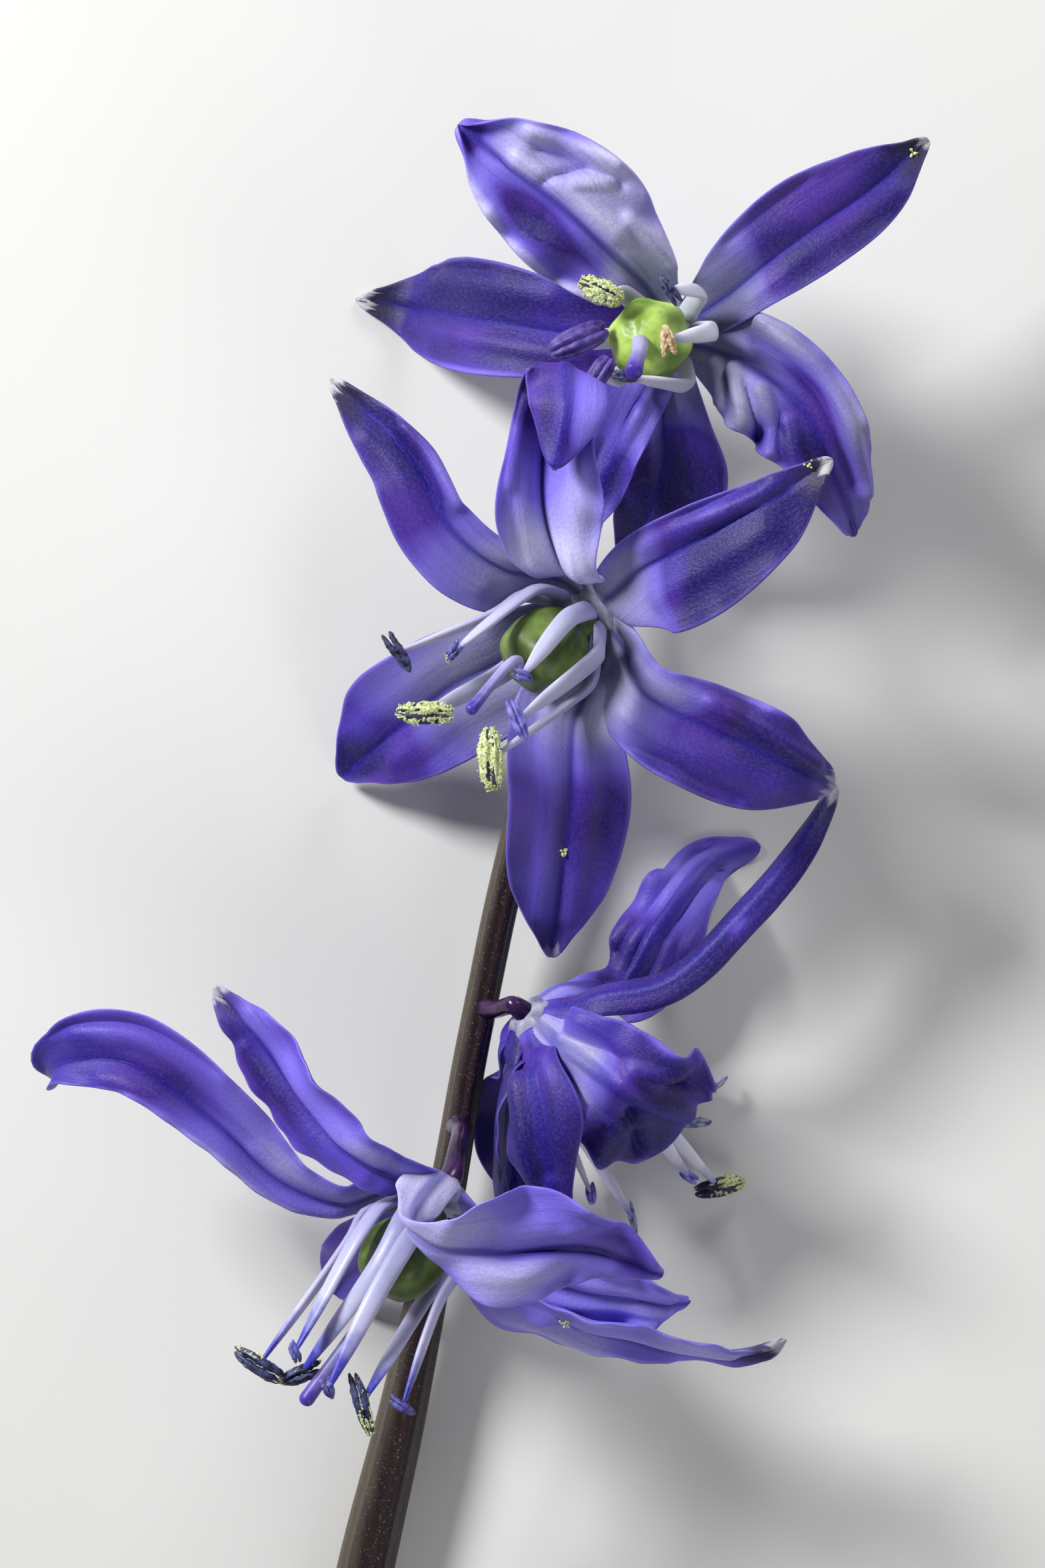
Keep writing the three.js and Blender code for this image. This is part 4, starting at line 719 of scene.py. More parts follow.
def petal_epidermis(add):
    length, long_mm, across_mm, margin, bleach, tone, ash, horn, number = (
        add("Attribute", out="Fac", attribute_name=mark) for mark in PETAL_MARKS)
    place = add("CombineXYZ", {"X": across_mm, "Y": long_mm, "Z": number})
    mottle, hue, streaks, cells, silk_and_glints = (
        add("TexNoise", {
            "Vector": add("VectorMath", {0: place, 1: stretch}, operation="MULTIPLY"),
            "Scale": scale, "Detail": detail, "Roughness": roughness})
        for stretch, scale, detail, roughness in PETAL_NOISES)

    # The juice: violet to blue, redder in places, and deeper where the petal is not bleached and
    # where shade is painted.
    juice = add("Mix", {0: tone, 6: PETAL_VIOLET, 7: PETAL_BLUE}, out=2, data_type="RGBA")
    red = add("MapRange", {"Value": hue, "From Min": 0.42, "From Max": 0.62, "To Max": 0.75})
    juice = add("Mix", {0: red, 6: juice, 7: PETAL_PURPLE}, out=2, data_type="RGBA")
    thin = add("Math", {0: bleach, 1: 0.6, 2: mottle}, operation="MULTIPLY_ADD")
    pool = add("MapRange", {"Value": thin, "From Min": 0.22, "From Max": 0.55},
               interpolation_type="SMOOTHSTEP")
    body = add("Mix", {0: pool, 6: PETAL_DEEP, 7: juice}, out=2, data_type="RGBA")

    # The air, and the painted highlights and shade that share its mark: the more, the paler the
    # petal, with a ragged edge.
    ragged = add("Math", {0: streaks, 1: 0.4, 2: mottle}, operation="MULTIPLY_ADD")
    pale = add("Math", {0: bleach, 1: ragged}, operation="MULTIPLY")
    pale = add("Math", {0: pale, 1: 0.8, 2: bleach}, operation="MULTIPLY_ADD")
    for start, full, greying, tint in BLEACHING:
        share = add("MapRange", {"Value": pale, "From Min": start, "From Max": full})
        grey = add("Math", {0: ash, 1: greying}, operation="MULTIPLY")
        tint = add("Mix", {0: grey, 6: tint, 7: PETAL_ASH}, out=2, data_type="RGBA")
        body = add("Mix", {0: share, 6: body, 7: tint}, out=2, data_type="RGBA")

    # Rib, veins, painted rim highlight, painted glints, dusk and horny point: what each follows,
    # from and to, how much, tint.
    off_middle = add("Math", {0: across_mm}, operation="ABSOLUTE")
    off_middle = add("Math", {0: streaks, 1: 0.3, 2: off_middle}, operation="MULTIPLY_ADD")
    worn = add("Math", {0: streaks, 1: 0.12, 2: length}, operation="MULTIPLY_ADD")
    for source, start, end, low, high, easing, strength, tint in (
        (off_middle, 0.22, 0.52, 0.65, 0.0, "SMOOTHSTEP", 1.0, PETAL_RIB),
        (streaks, 0.5, 0.7, 0.0, 0.22, "LINEAR", 1.0, PETAL_RIB),
        # the paler margin is a painted rim highlight
        (margin, 0.93, 1.0, 0.0, 0.4, "LINEAR", 1.0, PETAL_LAVENDER),
        # small glints on the silky grain are painted highlights
        (silk_and_glints, 0.45, 0.7, 0.0, 0.25, "LINEAR", 1.0, PETAL_BRIGHT),
        (worn, 0.9, 0.99, 0.0, 0.85, "LINEAR", horn, PETAL_SLATE),
        (worn, 1.015, 1.035, 0.0, 0.95, "LINEAR", horn, PETAL_HORN),
    ):
        share = add("MapRange", {"Value": source, "From Min": start, "From Max": end,
                                 "To Min": low, "To Max": high}, interpolation_type=easing)
        share = add("Math", {0: share, 1: strength}, operation="MULTIPLY")
        body = add("Mix", {0: share, 6: body, 7: tint}, out=2, data_type="RGBA")

    rough = add("MapRange", {
        "Value": cells, "From Min": 0.35, "From Max": 0.65, "To Min": 0.4, "To Max": 0.56})

    # Relief: the veins, then the silky grain, then the domes, each a bump on the one before.
    relief = {"Height": streaks, "Distance": 0.035 * MM, "Strength": 0.6}
    for height, depth in ((silk_and_glints, 0.05), (cells, 0.02)):
        relief = {"Normal": add("Bump", relief), "Height": height, "Distance": depth * MM,
                  "Strength": 0.6}
    return {
        "Base Color": body, "Roughness": rough, "Normal": add("Bump", relief), "IOR": 1.45,
        "Specular IOR Level": 0.35, "Subsurface Weight": 0.12, "Subsurface Scale": 0.4 * MM,
        "Subsurface Radius": (0.6, 0.4, 1.0), "Sheen Weight": 0.1, "Sheen Roughness": 0.4,
        "Sheen Tint": PETAL_SHEEN,
    }


PETAL_SKIN = new_material("petal_epidermis", petal_epidermis)
print("nodes in the petal's skin:", len(PETAL_SKIN.node_tree.nodes))

# %% [markdown]
# ## Filament, anther, pollen
# A filament is a flat, waxy ribbon, white with a blue tip. An anther is a pair of pods, purple
# while closed, navy once it has split, and straw-coloured where it has dried. Its pollen is a pale
# greenish yellow meal. The grains are 0.03 mm on the plant and are drawn at 0.04 to 0.15 mm, so
# that they still read as grains.


# %% Stamen and pistil finishes
TISSUE_IOR = 1.42  # of wet plant tissue
ROUGH_SPREAD = 0.1  # how far the mottles change the roughness each way


def plain_tissue(add, low, high, scale, rough, bump=0.02, soft=0.15):
    """Soft plant tissue: two colours in fine mottles, scale to a millimetre, and a bump."""
    place = add("TexCoord", out="Object")
    grain = add("TexNoise", {"Vector": place, "Scale": scale / MM, "Detail": 3.0})
    share = add("MapRange", {"Value": grain, "From Min": 0.35, "From Max": 0.65})
    gloss = {"Value": grain, "To Min": rough - ROUGH_SPREAD, "To Max": rough + ROUGH_SPREAD}
    body = add("Mix", {0: share, 6: colour(low), 7: colour(high)}, out=2, data_type="RGBA")
    return {
        "Base Color": body, "Roughness": add("MapRange", gloss),
        "Normal": add("Bump", {"Height": grain, "Distance": bump * MM, "Strength": 0.6}),
        "IOR": TISSUE_IOR, "Subsurface Weight": soft, "Subsurface Scale": 0.4 * MM,
    }


def filament_tissue(add):
    """Waxy white or lilac, clearer towards the tip, and blue from a mark onwards."""
    length, blue_from, waxy = (
        add("Attribute", out="Fac", attribute_name=mark)
        for mark in ("length_share", "blue_from", "waxy"))
    place = add("TexCoord", out="Object")
    grain = add("TexNoise", {"Vector": place, "Scale": 2.2 / MM, "Detail": 3.0})
    ragged = add("Math", {0: grain, 1: 0.16, 2: length}, operation="MULTIPLY_ADD")
    clear = add("MapRange", {"Value": ragged, "From Min": 0.2, "From Max": 0.75})
    past = add("Math", {0: ragged, 1: blue_from}, operation="SUBTRACT")
    blue = add("MapRange", {"Value": past, "From Max": 0.22})
    body = colour("#8481b4")
    for share, tint in ((clear, "#b0b2d3"), (waxy, "#d2d4e2"), (blue, "#3a39ac")):
        body = add("Mix", {0: share, 6: body, 7: colour(tint)}, out=2, data_type="RGBA")
    return {
        "Base Color": body, "Roughness": 0.38, "IOR": TISSUE_IOR,
        "Normal": add("Bump", {"Height": grain, "Distance": 0.03 * MM, "Strength": 0.5}),
        "Subsurface Weight": 0.3, "Subsurface Scale": 0.5 * MM,
    }


def style_tissue(add):
    """White at the foot and violet at the tip, with a ragged change between them."""
    length = add("Attribute", out="Fac", attribute_name="length_share")
    place = add("TexCoord", out="Object")
    grain = add("TexNoise", {"Vector": place, "Scale": 2.5 / MM, "Detail": 3.0})
    ragged = add("Math", {0: grain, 1: 0.3, 2: length}, operation="MULTIPLY_ADD")
    violet = add("MapRange", {"Value": ragged, "From Min": 0.55, "From Max": 1.1})
    tones = {0: violet, 6: colour("#a6a2ce"), 7: colour("#46309c")}
    return {
        "Base Color": add("Mix", tones, out=2, data_type="RGBA"),
        "Roughness": 0.4, "IOR": TISSUE_IOR,
        "Normal": add("Bump", {"Height": grain, "Distance": 0.03 * MM, "Strength": 0.5}),
        "Subsurface Weight": 0.25, "Subsurface Scale": 0.4 * MM,
    }


FILAMENT_SKIN = new_material("filament_tissue", filament_tissue)
STYLE_SKIN = new_material("style_tissue", style_tissue)
print("finishes:", FILAMENT_SKIN.name, STYLE_SKIN.name)

# %% [markdown]
# ## Stem skin
# The stem is glossy and fleshy, with fine pale flecks. It is painted olive brown on its lit side
# and maroon on its shaded side: the two tones are painted light and shade that follow the way round
# the stem. Its fibres are a noise that is stretched along it, and the flecks are the peaks of a
# finer one.


# %% Stem epidermis
def stem_epidermis(add):
    cut, flank = (add("Attribute", out="Fac", attribute_name=mark) for mark in ("cut", "flank"))
    place = add("TexCoord", out="Object")
    fibres = add("VectorMath", {0: place, 1: (3.2 / MM, 0.35 / MM, 3.2 / MM)}, operation="MULTIPLY")
    streaks = add("TexNoise", {"Vector": fibres, "Scale": 1.0, "Detail": 4.0})
    # the maroon side is painted shade and the olive brown side painted light, by the way round the
    # stem
    side = add("Math", {0: streaks, 1: 0.6, 2: flank}, operation="MULTIPLY_ADD")
    maroon = add("MapRange", {"Value": side, "From Min": 0.35, "From Max": 1.0})
    flecks = add("TexNoise", {"Vector": place, "Scale": 11.0 / MM, "Detail": 1.0})
    fleck = add("MapRange", {"Value": flecks, "From Min": 0.64, "From Max": 0.74, "To Max": 0.45})
    body = colour("#494234")
    for share, tint in ((maroon, "#25181a"), (fleck, "#8a8076"), (cut, "#8d9a63")):
        body = add("Mix", {0: share, 6: body, 7: colour(tint)}, out=2, data_type="RGBA")
    return {
        "Base Color": body, "Roughness": 0.36, "IOR": 1.45,
        "Normal": add("Bump", {"Height": streaks, "Distance": 0.06 * MM, "Strength": 0.5}),
        "Subsurface Weight": 0.05, "Subsurface Scale": 0.5 * MM,
    }


STEM_SKIN = new_material("stem_epidermis", stem_epidermis)
print("finish:", STEM_SKIN.name)

# %% [markdown]
# ## Plain tissues
# All other parts are soft tissue in two close tones, so one finish and a table of what differs
# serve them all. The anthers go from plump purple to navy, lilac, grey or straw as they age.

# %% Pedicels, receptacles, ovaries, anthers and pollen
# low and high colour, mottles in a millimetre, roughness, depth of the bump in mm, softness
PLAIN_TISSUES = {
    "pedicel_epidermis": ("#1a0d24", "#3f2050", 0.8, 0.2, 0.08, 0.05),
    "receptacle_tissue": ("#70708c", "#a2a3b6", 1.5, 0.45),
    # the first ovary skin is painted lighter, as light, for flower 1; the second darker, as shade,
    # for the others
    "lit_ovary_skin": ("#648a28", "#aecb62", 0.8, 0.36, 0.2),
    "shaded_ovary_skin": ("#3a4a20", "#677e38", 0.9, 0.45, 0.05),
    "anther_closed": ("#35246c", "#5b4898", 3.0, 0.5, 0.04),
    "anther_ripe": ("#14132c", "#3a3a5a", 3.0, 0.55, 0.04),
    "anther_split": ("#111129", "#4a4d78", 4.0, 0.5, 0.06),
    "anther_curled": ("#1c1850", "#6a6abc", 3.0, 0.45, 0.05),
    "anther_lilac": ("#5049a4", "#8f8cd6", 3.0, 0.5, 0.04),
    "anther_dried": ("#a08562", "#dcc6a0", 3.0, 0.65, 0.05),
    "anther_grey": ("#4c5480", "#a4aac8", 3.0, 0.5, 0.05),
    "pollen_meal": ("#b0b068", "#ecebbc", 9.0, 0.8, 0.05, 0.3),
}
TISSUES = {name: new_material(name, plain_tissue, *row) for name, row in PLAIN_TISSUES.items()}
POLLEN = TISSUES["pollen_meal"]
print("finishes:", ", ".join(TISSUES))

# %% [markdown]
# ## Petals
# A petal is a sheet that follows its middle line. At each share of the length the sheet faces one
# way, is so wide to the left and right, and its margins curl inwards by so many degrees. Waves,
# pleats and a shallow groove along the middle vein then push it in and out. Both faces are laid
# half a thickness from that middle sheet and meet in a thin rounded margin.

# %% The middle sheet of a petal
TIP_SHARE = 0.94  # where the tip starts to round off
BLUNT = 0.02  # share of the width that is left at the very ends
HOOD = 55  # degrees that the margins of the tip curl further in
HOOD_SPAN = (0.84, 0.16)  # where the hood starts, and over what share of the length it grows
HALVES_APART = 0.37  # share of a wave by which the left half runs ahead of the right
USUAL_WAVE = (0.1, 2, 0)  # height of the wave of the margins, its count and where it starts
GROOVE = (0.11, 0.24, 0.15)  # depth and half-width along the middle vein, and where it is full
WAVES = 5  # low random waves over the whole sheet
WAVE_HEIGHT, WAVE_LONG, WAVE_LEAN = 0.08, (0.9, 2.0), (-1.6, 1.6)  # mm, then radians in each mm
CRINKLE, CRINKLE_LONG, CRINKLE_EDGE = 0.07, (3.2, 5.0), 6  # the same, for the margins alone
RUFFLE_EDGE = 2.5  # the higher these powers, the closer a wave keeps to the margin
NEVER_FLAT = 1e-4  # a curl of zero can't be divided by


def swell(x):
    """Rises from nothing and falls back to it as x goes from 0 to 1."""
    return np.sin(math.pi * x)


def pleat_heights(petal, line, x, y):
    """Pleats: from (u, v) to (u, v) in shares of length and half-width, then half-width, height."""
    def place(u, v):
        half = float(along(petal["left" if v < 0 else "right"], np.array(u)))
        return np.array([u * line.length, v * half])

    height = np.zeros(np.broadcast(x, y).shape)
    for u0, v0, u1, v1, wide, high in petal.get("pleats", ()):
        start = place(u0, v0)
        reach = place(u1, v1) - start
        from_x, from_y = x - start[0], y - start[1]
        t = np.clip((from_x * reach[0] + from_y * reach[1]) / reach.dot(reach), 0, 1)
        gap = (from_x - t * reach[0]) ** 2 + (from_y - t * reach[1]) ** 2
        height = height + high * np.exp(-gap / wide**2)
    return height


def petal_sheet(flower, petal, u, v, draw):
    """The middle sheet, its inward normals and its marks, at shares u of length and v of width."""
    up = flower_axis(flower)[1]
    line = Line(from_foot(flower, (CLAW_START, CLAW_BEND), petal["rib"]))
    heading = line.heading(u)
    free = smooth_step(u / CLAW_SHARE)[:, None]
    face = (1 - free) * up + free * along(petal["face"], u)
    face = unit(face - heading * (face * heading).sum(axis=1, keepdims=True))
    side = np.cross(heading, face)
    down = u[:, None]

    left, right = along(petal["left"], u)[:, None], along(petal["right"], u)[:, None]
    half = np.where(v[None, :] < 0, left, right)
    half = half * (np.sqrt(1 - np.clip((down - TIP_SHARE) / (1 - TIP_SHARE), 0, 1) ** 2) + BLUNT)
    for margin, u0, u1, count, depth in petal.get("scallops", ()):
        share = np.clip((u - u0) / (u1 - u0), 0, 1)
        reach = depth * swell(share) * np.cos(2 * math.pi * count * share)
        half = half + reach[:, None] * (v[None, :] * margin > 0)
    tip = smooth_step((u - HOOD_SPAN[0]) / HOOD_SPAN[1])
    curl = np.radians(along(petal["cup"], u) + petal.get("hood", HOOD) * tip)[:, None] * free
    curl = curl + NEVER_FLAT

    x = down * line.length
    y = v[None, :] * half
    height, count, start = petal.get("wave", USUAL_WAVE)
    ahead = np.where(v < 0, HALVES_APART, 0.0)[None, :]
    push = height * v**2 * swell(down) * np.sin(2 * math.pi * (count * down + start + ahead))
    lively = petal.get("smooth", 1)
    for _ in range(WAVES):
        stretch, lean = draw.uniform(*WAVE_LONG), draw.uniform(*WAVE_LEAN)
        wave = np.sin(stretch * x + lean * y + draw.uniform(0, 2 * math.pi))
        push = push + WAVE_HEIGHT * lively * free * wave * np.abs(v) ** 0.5
    for margin in (-1, 1):
        turns, phase = draw.uniform(*CRINKLE_LONG), draw.uniform(0, 2 * math.pi)
        edge = np.clip(v * margin, 0, 1)[None, :] ** CRINKLE_EDGE
        push = push + CRINKLE * lively * free * edge * np.sin(turns * x + phase)
    for margin, u0, u1, count, height in petal.get("ruffles", ()):
        edge = np.clip(v * margin, 0, 1)[None, :] ** RUFFLE_EDGE
        share = np.clip((down - u0) / (u1 - u0), 0, 1)
        push = push + height * edge * swell(share) * np.sin(2 * math.pi * count * share)
    push = push + pleat_heights(petal, line, x, y)
    depth, wide, full = GROOVE
    groove = depth * np.exp(-((y / wide) ** 2)) * smooth_step(down / full)
    push = push - groove * (1 - tip)[:, None]

    sheet = line.place(u)[:, None, :]
    aside = np.sign(v) * half * np.sin(curl * np.abs(v)) / curl
    sheet = sheet + side[:, None, :] * aside[..., None]
    sheet = sheet + face[:, None, :] * (half * (1 - np.cos(curl * v)) / curl + push)[..., None]
    normal = unit(np.cross(np.gradient(sheet, axis=1), np.gradient(sheet, axis=0)))
    marks = {"along_mm": x, "across_mm": y, "margin_share": np.abs(v)[None, :],
             "length_share": down, "relief": push}
    return sheet, normal, {name: mark + 0 * y for name, mark in marks.items()}


# %% Grains of pollen
GRAIN = 0.05  # radius of a pollen grain as drawn


def grain_bodies(centres, radii):
    """Many small round grains as one body."""
    ball = bmesh.new()
    bmesh.ops.create_icosphere(ball, subdivisions=1, radius=1.0)
    ball_points = np.array([vertex.co for vertex in ball.verts])
    ball_faces = np.array([[vertex.index for vertex in face.verts] for face in ball.faces])
    ball.free()
    points = centres[:, None, :] + ball_points[None] * radii[:, None, None]
    faces = ball_faces[None] + np.arange(len(centres))[:, None, None] * len(ball_points)
    return points.reshape(-1, 3), faces.reshape(-1, 3).tolist(), {}, POLLEN


# %% A petal as a closed body
PETAL_STEPS, TIP_STEPS, PETAL_ACROSS = 84, 9, 44  # rows up to the tip, rows in it, columns
EVENLY = (0.55, 0.45)  # shares of even columns and of columns that crowd to the margins
PETAL_THICK = 0.34  # at the middle vein
MARGIN_THINS, MARGIN_ROUNDS = 0.45, 8  # share lost towards the margin, power of its rounding
KEEL = (1.1, 0.16)  # how much thicker the claw is, and over what share of the length
TIP_THINS = (0.985, 0.02, 0.9)  # from where, over what share and how far the tip thins
FOLD_LIGHT_AND_SHADE = 0.18  # painted light and shade: paler for each millimetre that a fold rises, darker where it sinks
MARGIN_JUICY = 0.35  # how much less the margin is bleached at the foot
USUAL_MARKS = {"tone": 0.15, "ash": 0.0, "horn": 0.0}
SPECK_LIFT, SPECK_SPREAD, SPECK_SIZE = 0.05, 0.08, (0.8, 1.5)  # mm, mm, radii of a grain
SPECK_FLAT = (1, 1, 0.4)  # a heap of specks is wider than it is high


def bleach_and_painted_light_of(petal, u, v):
    """How pale the petal is: its foot, and patches given as (u, v, long, wide, share); pale and
    patches also carry painted light and shade.
    """
    foot, strength = petal["foot"]
    airy = (1 - smooth_step(u / foot))[:, None] * strength
    bleach = airy * (1 - MARGIN_JUICY * np.abs(v)[None, :]) + petal.get("pale", 0.0)
    for u0, v0, long, wide, share in petal.get("patches", ()):
        gap = ((u[:, None] - u0) / long) ** 2 + ((v[None, :] - v0) / wide) ** 2
        bleach = bleach + share * np.exp(-gap)
    return bleach


def petal_bodies(flower, petal, draw):
    tip = TIP_SHARE + (1 - TIP_SHARE) * np.sin(np.linspace(0, math.pi / 2, TIP_STEPS))
    u = np.concatenate([np.linspace(0, TIP_SHARE, PETAL_STEPS), tip[1:]])
    even = np.linspace(-1, 1, PETAL_ACROSS + 1)
    v = EVENLY[0] * even + EVENLY[1] * np.sin(even * math.pi / 2)
    sheet, normal, marks = petal_sheet(flower, petal, u, v, draw)
    # folds are painted paler on their crests as highlights and darker in their hollows as shade
    fold_light_and_shade = petal.get("ridge", FOLD_LIGHT_AND_SHADE) * marks.pop("relief")
    marks["bleach"] = bleach_and_painted_light_of(petal, u, v) + fold_light_and_shade
    for name, usual in USUAL_MARKS.items():
        marks[name] = np.full(sheet.shape[:2], petal.get(name, usual))
    marks["petal_number"] = np.full(sheet.shape[:2], petal["number"])

    thick = PETAL_THICK * (1 - MARGIN_THINS * v**2) * np.sqrt(1 - np.abs(v) ** MARGIN_ROUNDS)
    keel = 1 + KEEL[0] * (1 - smooth_step(u / KEEL[1]))
    start, reach, thins = TIP_THINS
    blunt = np.sqrt(1 - smooth_step((u - start) / reach) * thins)
    thick = thick[None, :, None] * (keel * blunt)[:, None, None]
    inner = sheet + normal * thick / 2
    outer = (sheet - normal * thick / 2)[:, -2:0:-1]
    rings = np.concatenate([inner, outer], axis=1)
    rings[..., 2] = np.maximum(rings[..., 2], SURFACE_Z)
    points, faces = skin(rings)
    flat = {name: np.concatenate([m, m[:, -2:0:-1]], axis=1) for name, m in marks.items()}
    ends = {name: np.append(m.ravel(), [m[0].mean(), m[-1].mean()]) for name, m in flat.items()}
    bodies = [(points, faces, ends, PETAL_SKIN)]
    for u_share, v_share, count in petal.get("specks", ()):
        ring, column = np.abs(u - u_share).argmin(), np.abs(v - v_share).argmin()
        centre = inner[ring, column] + SPECK_LIFT * normal[ring, column]
        spread = draw.normal(0, SPECK_SPREAD, (count, 3)) * SPECK_FLAT
        bodies.append(grain_bodies(centre + spread, draw.uniform(*SPECK_SIZE, count) * GRAIN))
    return bodies


# %% Petals and receptacles of every flower
LETTERS = "abcdef"
RECEPTACLE_GRID = (26, 48)
for number, flower in enumerate(FLOWERS, 1):
    tepals = f"flower_{number}_tepals"
    for place, letter in enumerate(LETTERS):
        name = f"{number}{letter}"
        petal = {**PETALS[name], **PETAL_LOOKS[name], "number": 6 * number + place}
        draw = np.random.default_rng(100 * number + place)
        bodies = petal_bodies(flower, petal, draw)
        make_piece(f"flower_{number}_petal_{letter}", bodies, tepals)
    profile = along(RECEPTACLE, np.linspace(0, 1, RECEPTACLE_GRID[0]))
    profile[[0, -1], 0] = 0
    points, faces = turned(flower, profile, RECEPTACLE_GRID[1], RECEPTACLE_GROOVE)
    body = (points, faces, {}, TISSUES["receptacle_tissue"])
    make_piece(f"flower_{number}_receptacle", [body], tepals)

# %% [markdown]
# ## Stamens
# A filament rises from beside the ovary's foot as a flat ribbon, and its anther is hung by the
# middle from its thin tip. An anther is two lobes side by side, each with a slit along it. From a
# ripe one the pollen wells up as a crumbly crust with loose grains on it. The crust is the lobe
# itself, grown outwards where a noise says so.

# %% Tubes
FILAMENT_WIDE = [0.46, 0.43, 0.4, 0.33, 0.12]
FILAMENT_THIN = [0.25, 0.22, 0.19, 0.17, 0.08]
FILAMENT_GRID = (40, 16)  # steps along and sides round, as in the other grids
END_ROUNDS = 0.05  # share of a tube's length over which its end is rounded


def tube_body(points, half_wide, half_thick, grid, side, material):
    """A tube along the points, thick along the way that side gives and wide across it."""
    steps, sides = grid
    line = Line(points)
    u = np.sin(np.linspace(0, math.pi / 2, steps))
    past = np.clip((u - (1 - END_ROUNDS)) / END_ROUNDS, 0, 1)
    round_end = np.sqrt(1 - past**2)[:, None] + BLUNT
    heading = line.heading(u)
    thick_way = unit(side - heading * (heading @ side)[:, None])
    wide_way = np.cross(heading, thick_way)
    angles = circle(sides)
    wide = along(half_wide, u)[:, None] * round_end * np.cos(angles)
    thick = along(half_thick, u)[:, None] * round_end * np.sin(angles)
    rings = line.place(u)[:, None, :] + wide[..., None] * wide_way[:, None, :]
    rings = rings + thick[..., None] * thick_way[:, None, :]
    return (*skin(rings), {"length_share": np.append(np.repeat(u, sides), [0, 1])}, material)


# %% Anthers of two lobes, and their pollen
# half-width of one lobe, how far it lies off the middle, how crumpled it is, how unlike the two are
LOBES = {
    "closed": (0.27, 0.19, 0.02, 0.04), "ripe": (0.25, 0.2, 0.05, 0.1),
    "split": (0.16, 0.17, 0.12, 0.25), "curled": (0.15, 0.15, 0.1, 0.4),
    "lilac": (0.16, 0.16, 0.06, 0.15), "dried": (0.18, 0.16, 0.22, 0.5),
    "grey": (0.14, 0.14, 0.1, 0.25),
}
LOBE_STEPS, LOBE_SIDES = 44, 28
LOBE_END = 0.97  # how near the first and last rings come to the points that close the lobe
LOBE_FULL = 3  # power of the lobe's outline: the higher, the fuller its ends
LOBES_MEET = 0.35  # share by which the two lobes come together at their ends
UNLIKE_HALF = 0.5  # how much of their unlikeness goes into length and splay
SLIT = (0.5, 0.3, 0.3)  # radians off the top, half-width in radians, depth as a share
SEAM = (0.35, 0.3, 1.3)  # where the two crusts leave the slit bare: off the top, half-width, weight
CRUST_PATCHY, CRUST_ON_TOP, CRUST_EDGE = 0.45, 0.6, 2  # weights, and how sharply it ends
CRUST_THICK = (0.84, 0.34, 0.1)  # size of the meal inside the lobe, and its growth and crumbs
CRUST_FULL = 0.6  # where the crust is this thick, loose grains lie on it
LOOSE_GRAINS, LOOSE_SPREAD, LOOSE_SIZE = 420, 0.03, (0.4, 0.9)


def soft_noise(shape, draw, reach):
    """Random heights that change over a few steps of the grid, about one unit high."""
    field = draw.standard_normal(shape)
    for axis in (0, 1):
        field = sum(np.roll(field, step, axis=axis) for step in range(-reach, reach + 1))
    return field / field.std()


def off_top(angles, middle, wide):
    """One on the line that lies middle radians off the top, and nothing away from it."""
    return np.exp(-(((angles - math.pi / 2 + middle) / wide) ** 2))


def lobe_rings(centre, stamen, look, hand, draw):
    """One lobe as a stack of rings, with the share along it and the angle round it."""
    lie, long = unit(np.array(stamen[2], float)), stamen[3]
    state, plump, bow = look[:3]
    half, off, crumple, unlike = LOBES[state]
    up = unit(np.array([0.0, 0.0, 1.0]) - lie * lie[2])
    side = np.cross(lie, up)
    s = np.sin(np.linspace(-LOBE_END, LOBE_END, LOBE_STEPS) * math.pi / 2)
    angles = circle(LOBE_SIDES)
    sag = bow * (1 + draw.uniform(-unlike, unlike)) * s**2
    splay = draw.uniform(-unlike, unlike) * s * np.abs(s) * UNLIKE_HALF
    sway = hand * off * plump * (1 - LOBES_MEET * s**2) + splay
    reach = long / 2 * (1 - draw.uniform(0, unlike) * UNLIKE_HALF)
    middle = centre + (s * reach)[:, None] * lie + sway[:, None] * side
    middle = middle - (sag * reach)[:, None] * up
    slit = 1 - SLIT[2] * off_top(angles, SLIT[0] * hand, SLIT[1])
    radius = np.sqrt(1 - np.abs(s) ** LOBE_FULL)[:, None] * slit[None, :] * half * plump
    radius = radius * (1 + crumple * soft_noise((len(s), len(angles)), draw, 1))
    rings = middle[:, None, :] + (radius * np.cos(angles))[..., None] * side
    return middle, rings + (radius * np.sin(angles))[..., None] * up, s, angles


def anther_bodies(centre, stamen, look, draw):
    """Two lobes side by side, and on a ripe one the crust of pollen that covers part of each."""
    covered, keeps_to = look[3:]
    bodies = []
    for hand in (-1, 1):
        middle, rings, s, angles = lobe_rings(centre, stamen, look, hand, draw)
        bodies.append((*skin(rings), {}, TISSUES["anther_" + look[0]]))
        if covered:
            shape = rings.shape[:2]
            seam = SEAM[2] * off_top(angles, -SEAM[0] * hand, SEAM[1])
            here = CRUST_PATCHY * soft_noise(shape, draw, 3) + CRUST_ON_TOP * np.sin(angles)
            here = here - seam + keeps_to * s[:, None]
            crust = smooth_step((here - np.quantile(here, 1 - covered)) * CRUST_EDGE + 0.5)
            least, more, crumbs = CRUST_THICK
            grow = least + more * crust + crumbs * crust * soft_noise(shape, draw, 1)
            meal = middle[:, None, :] + (rings - middle[:, None, :]) * grow[..., None]
            bodies.append((*skin(meal), {}, POLLEN))
            spots = meal[crust > CRUST_FULL]
            spots = spots[draw.integers(0, len(spots), int(LOOSE_GRAINS * covered))]
            spots = spots + draw.normal(0, LOOSE_SPREAD, spots.shape)
            bodies.append(grain_bodies(spots, draw.uniform(*LOOSE_SIZE, len(spots)) * GRAIN))
    return bodies


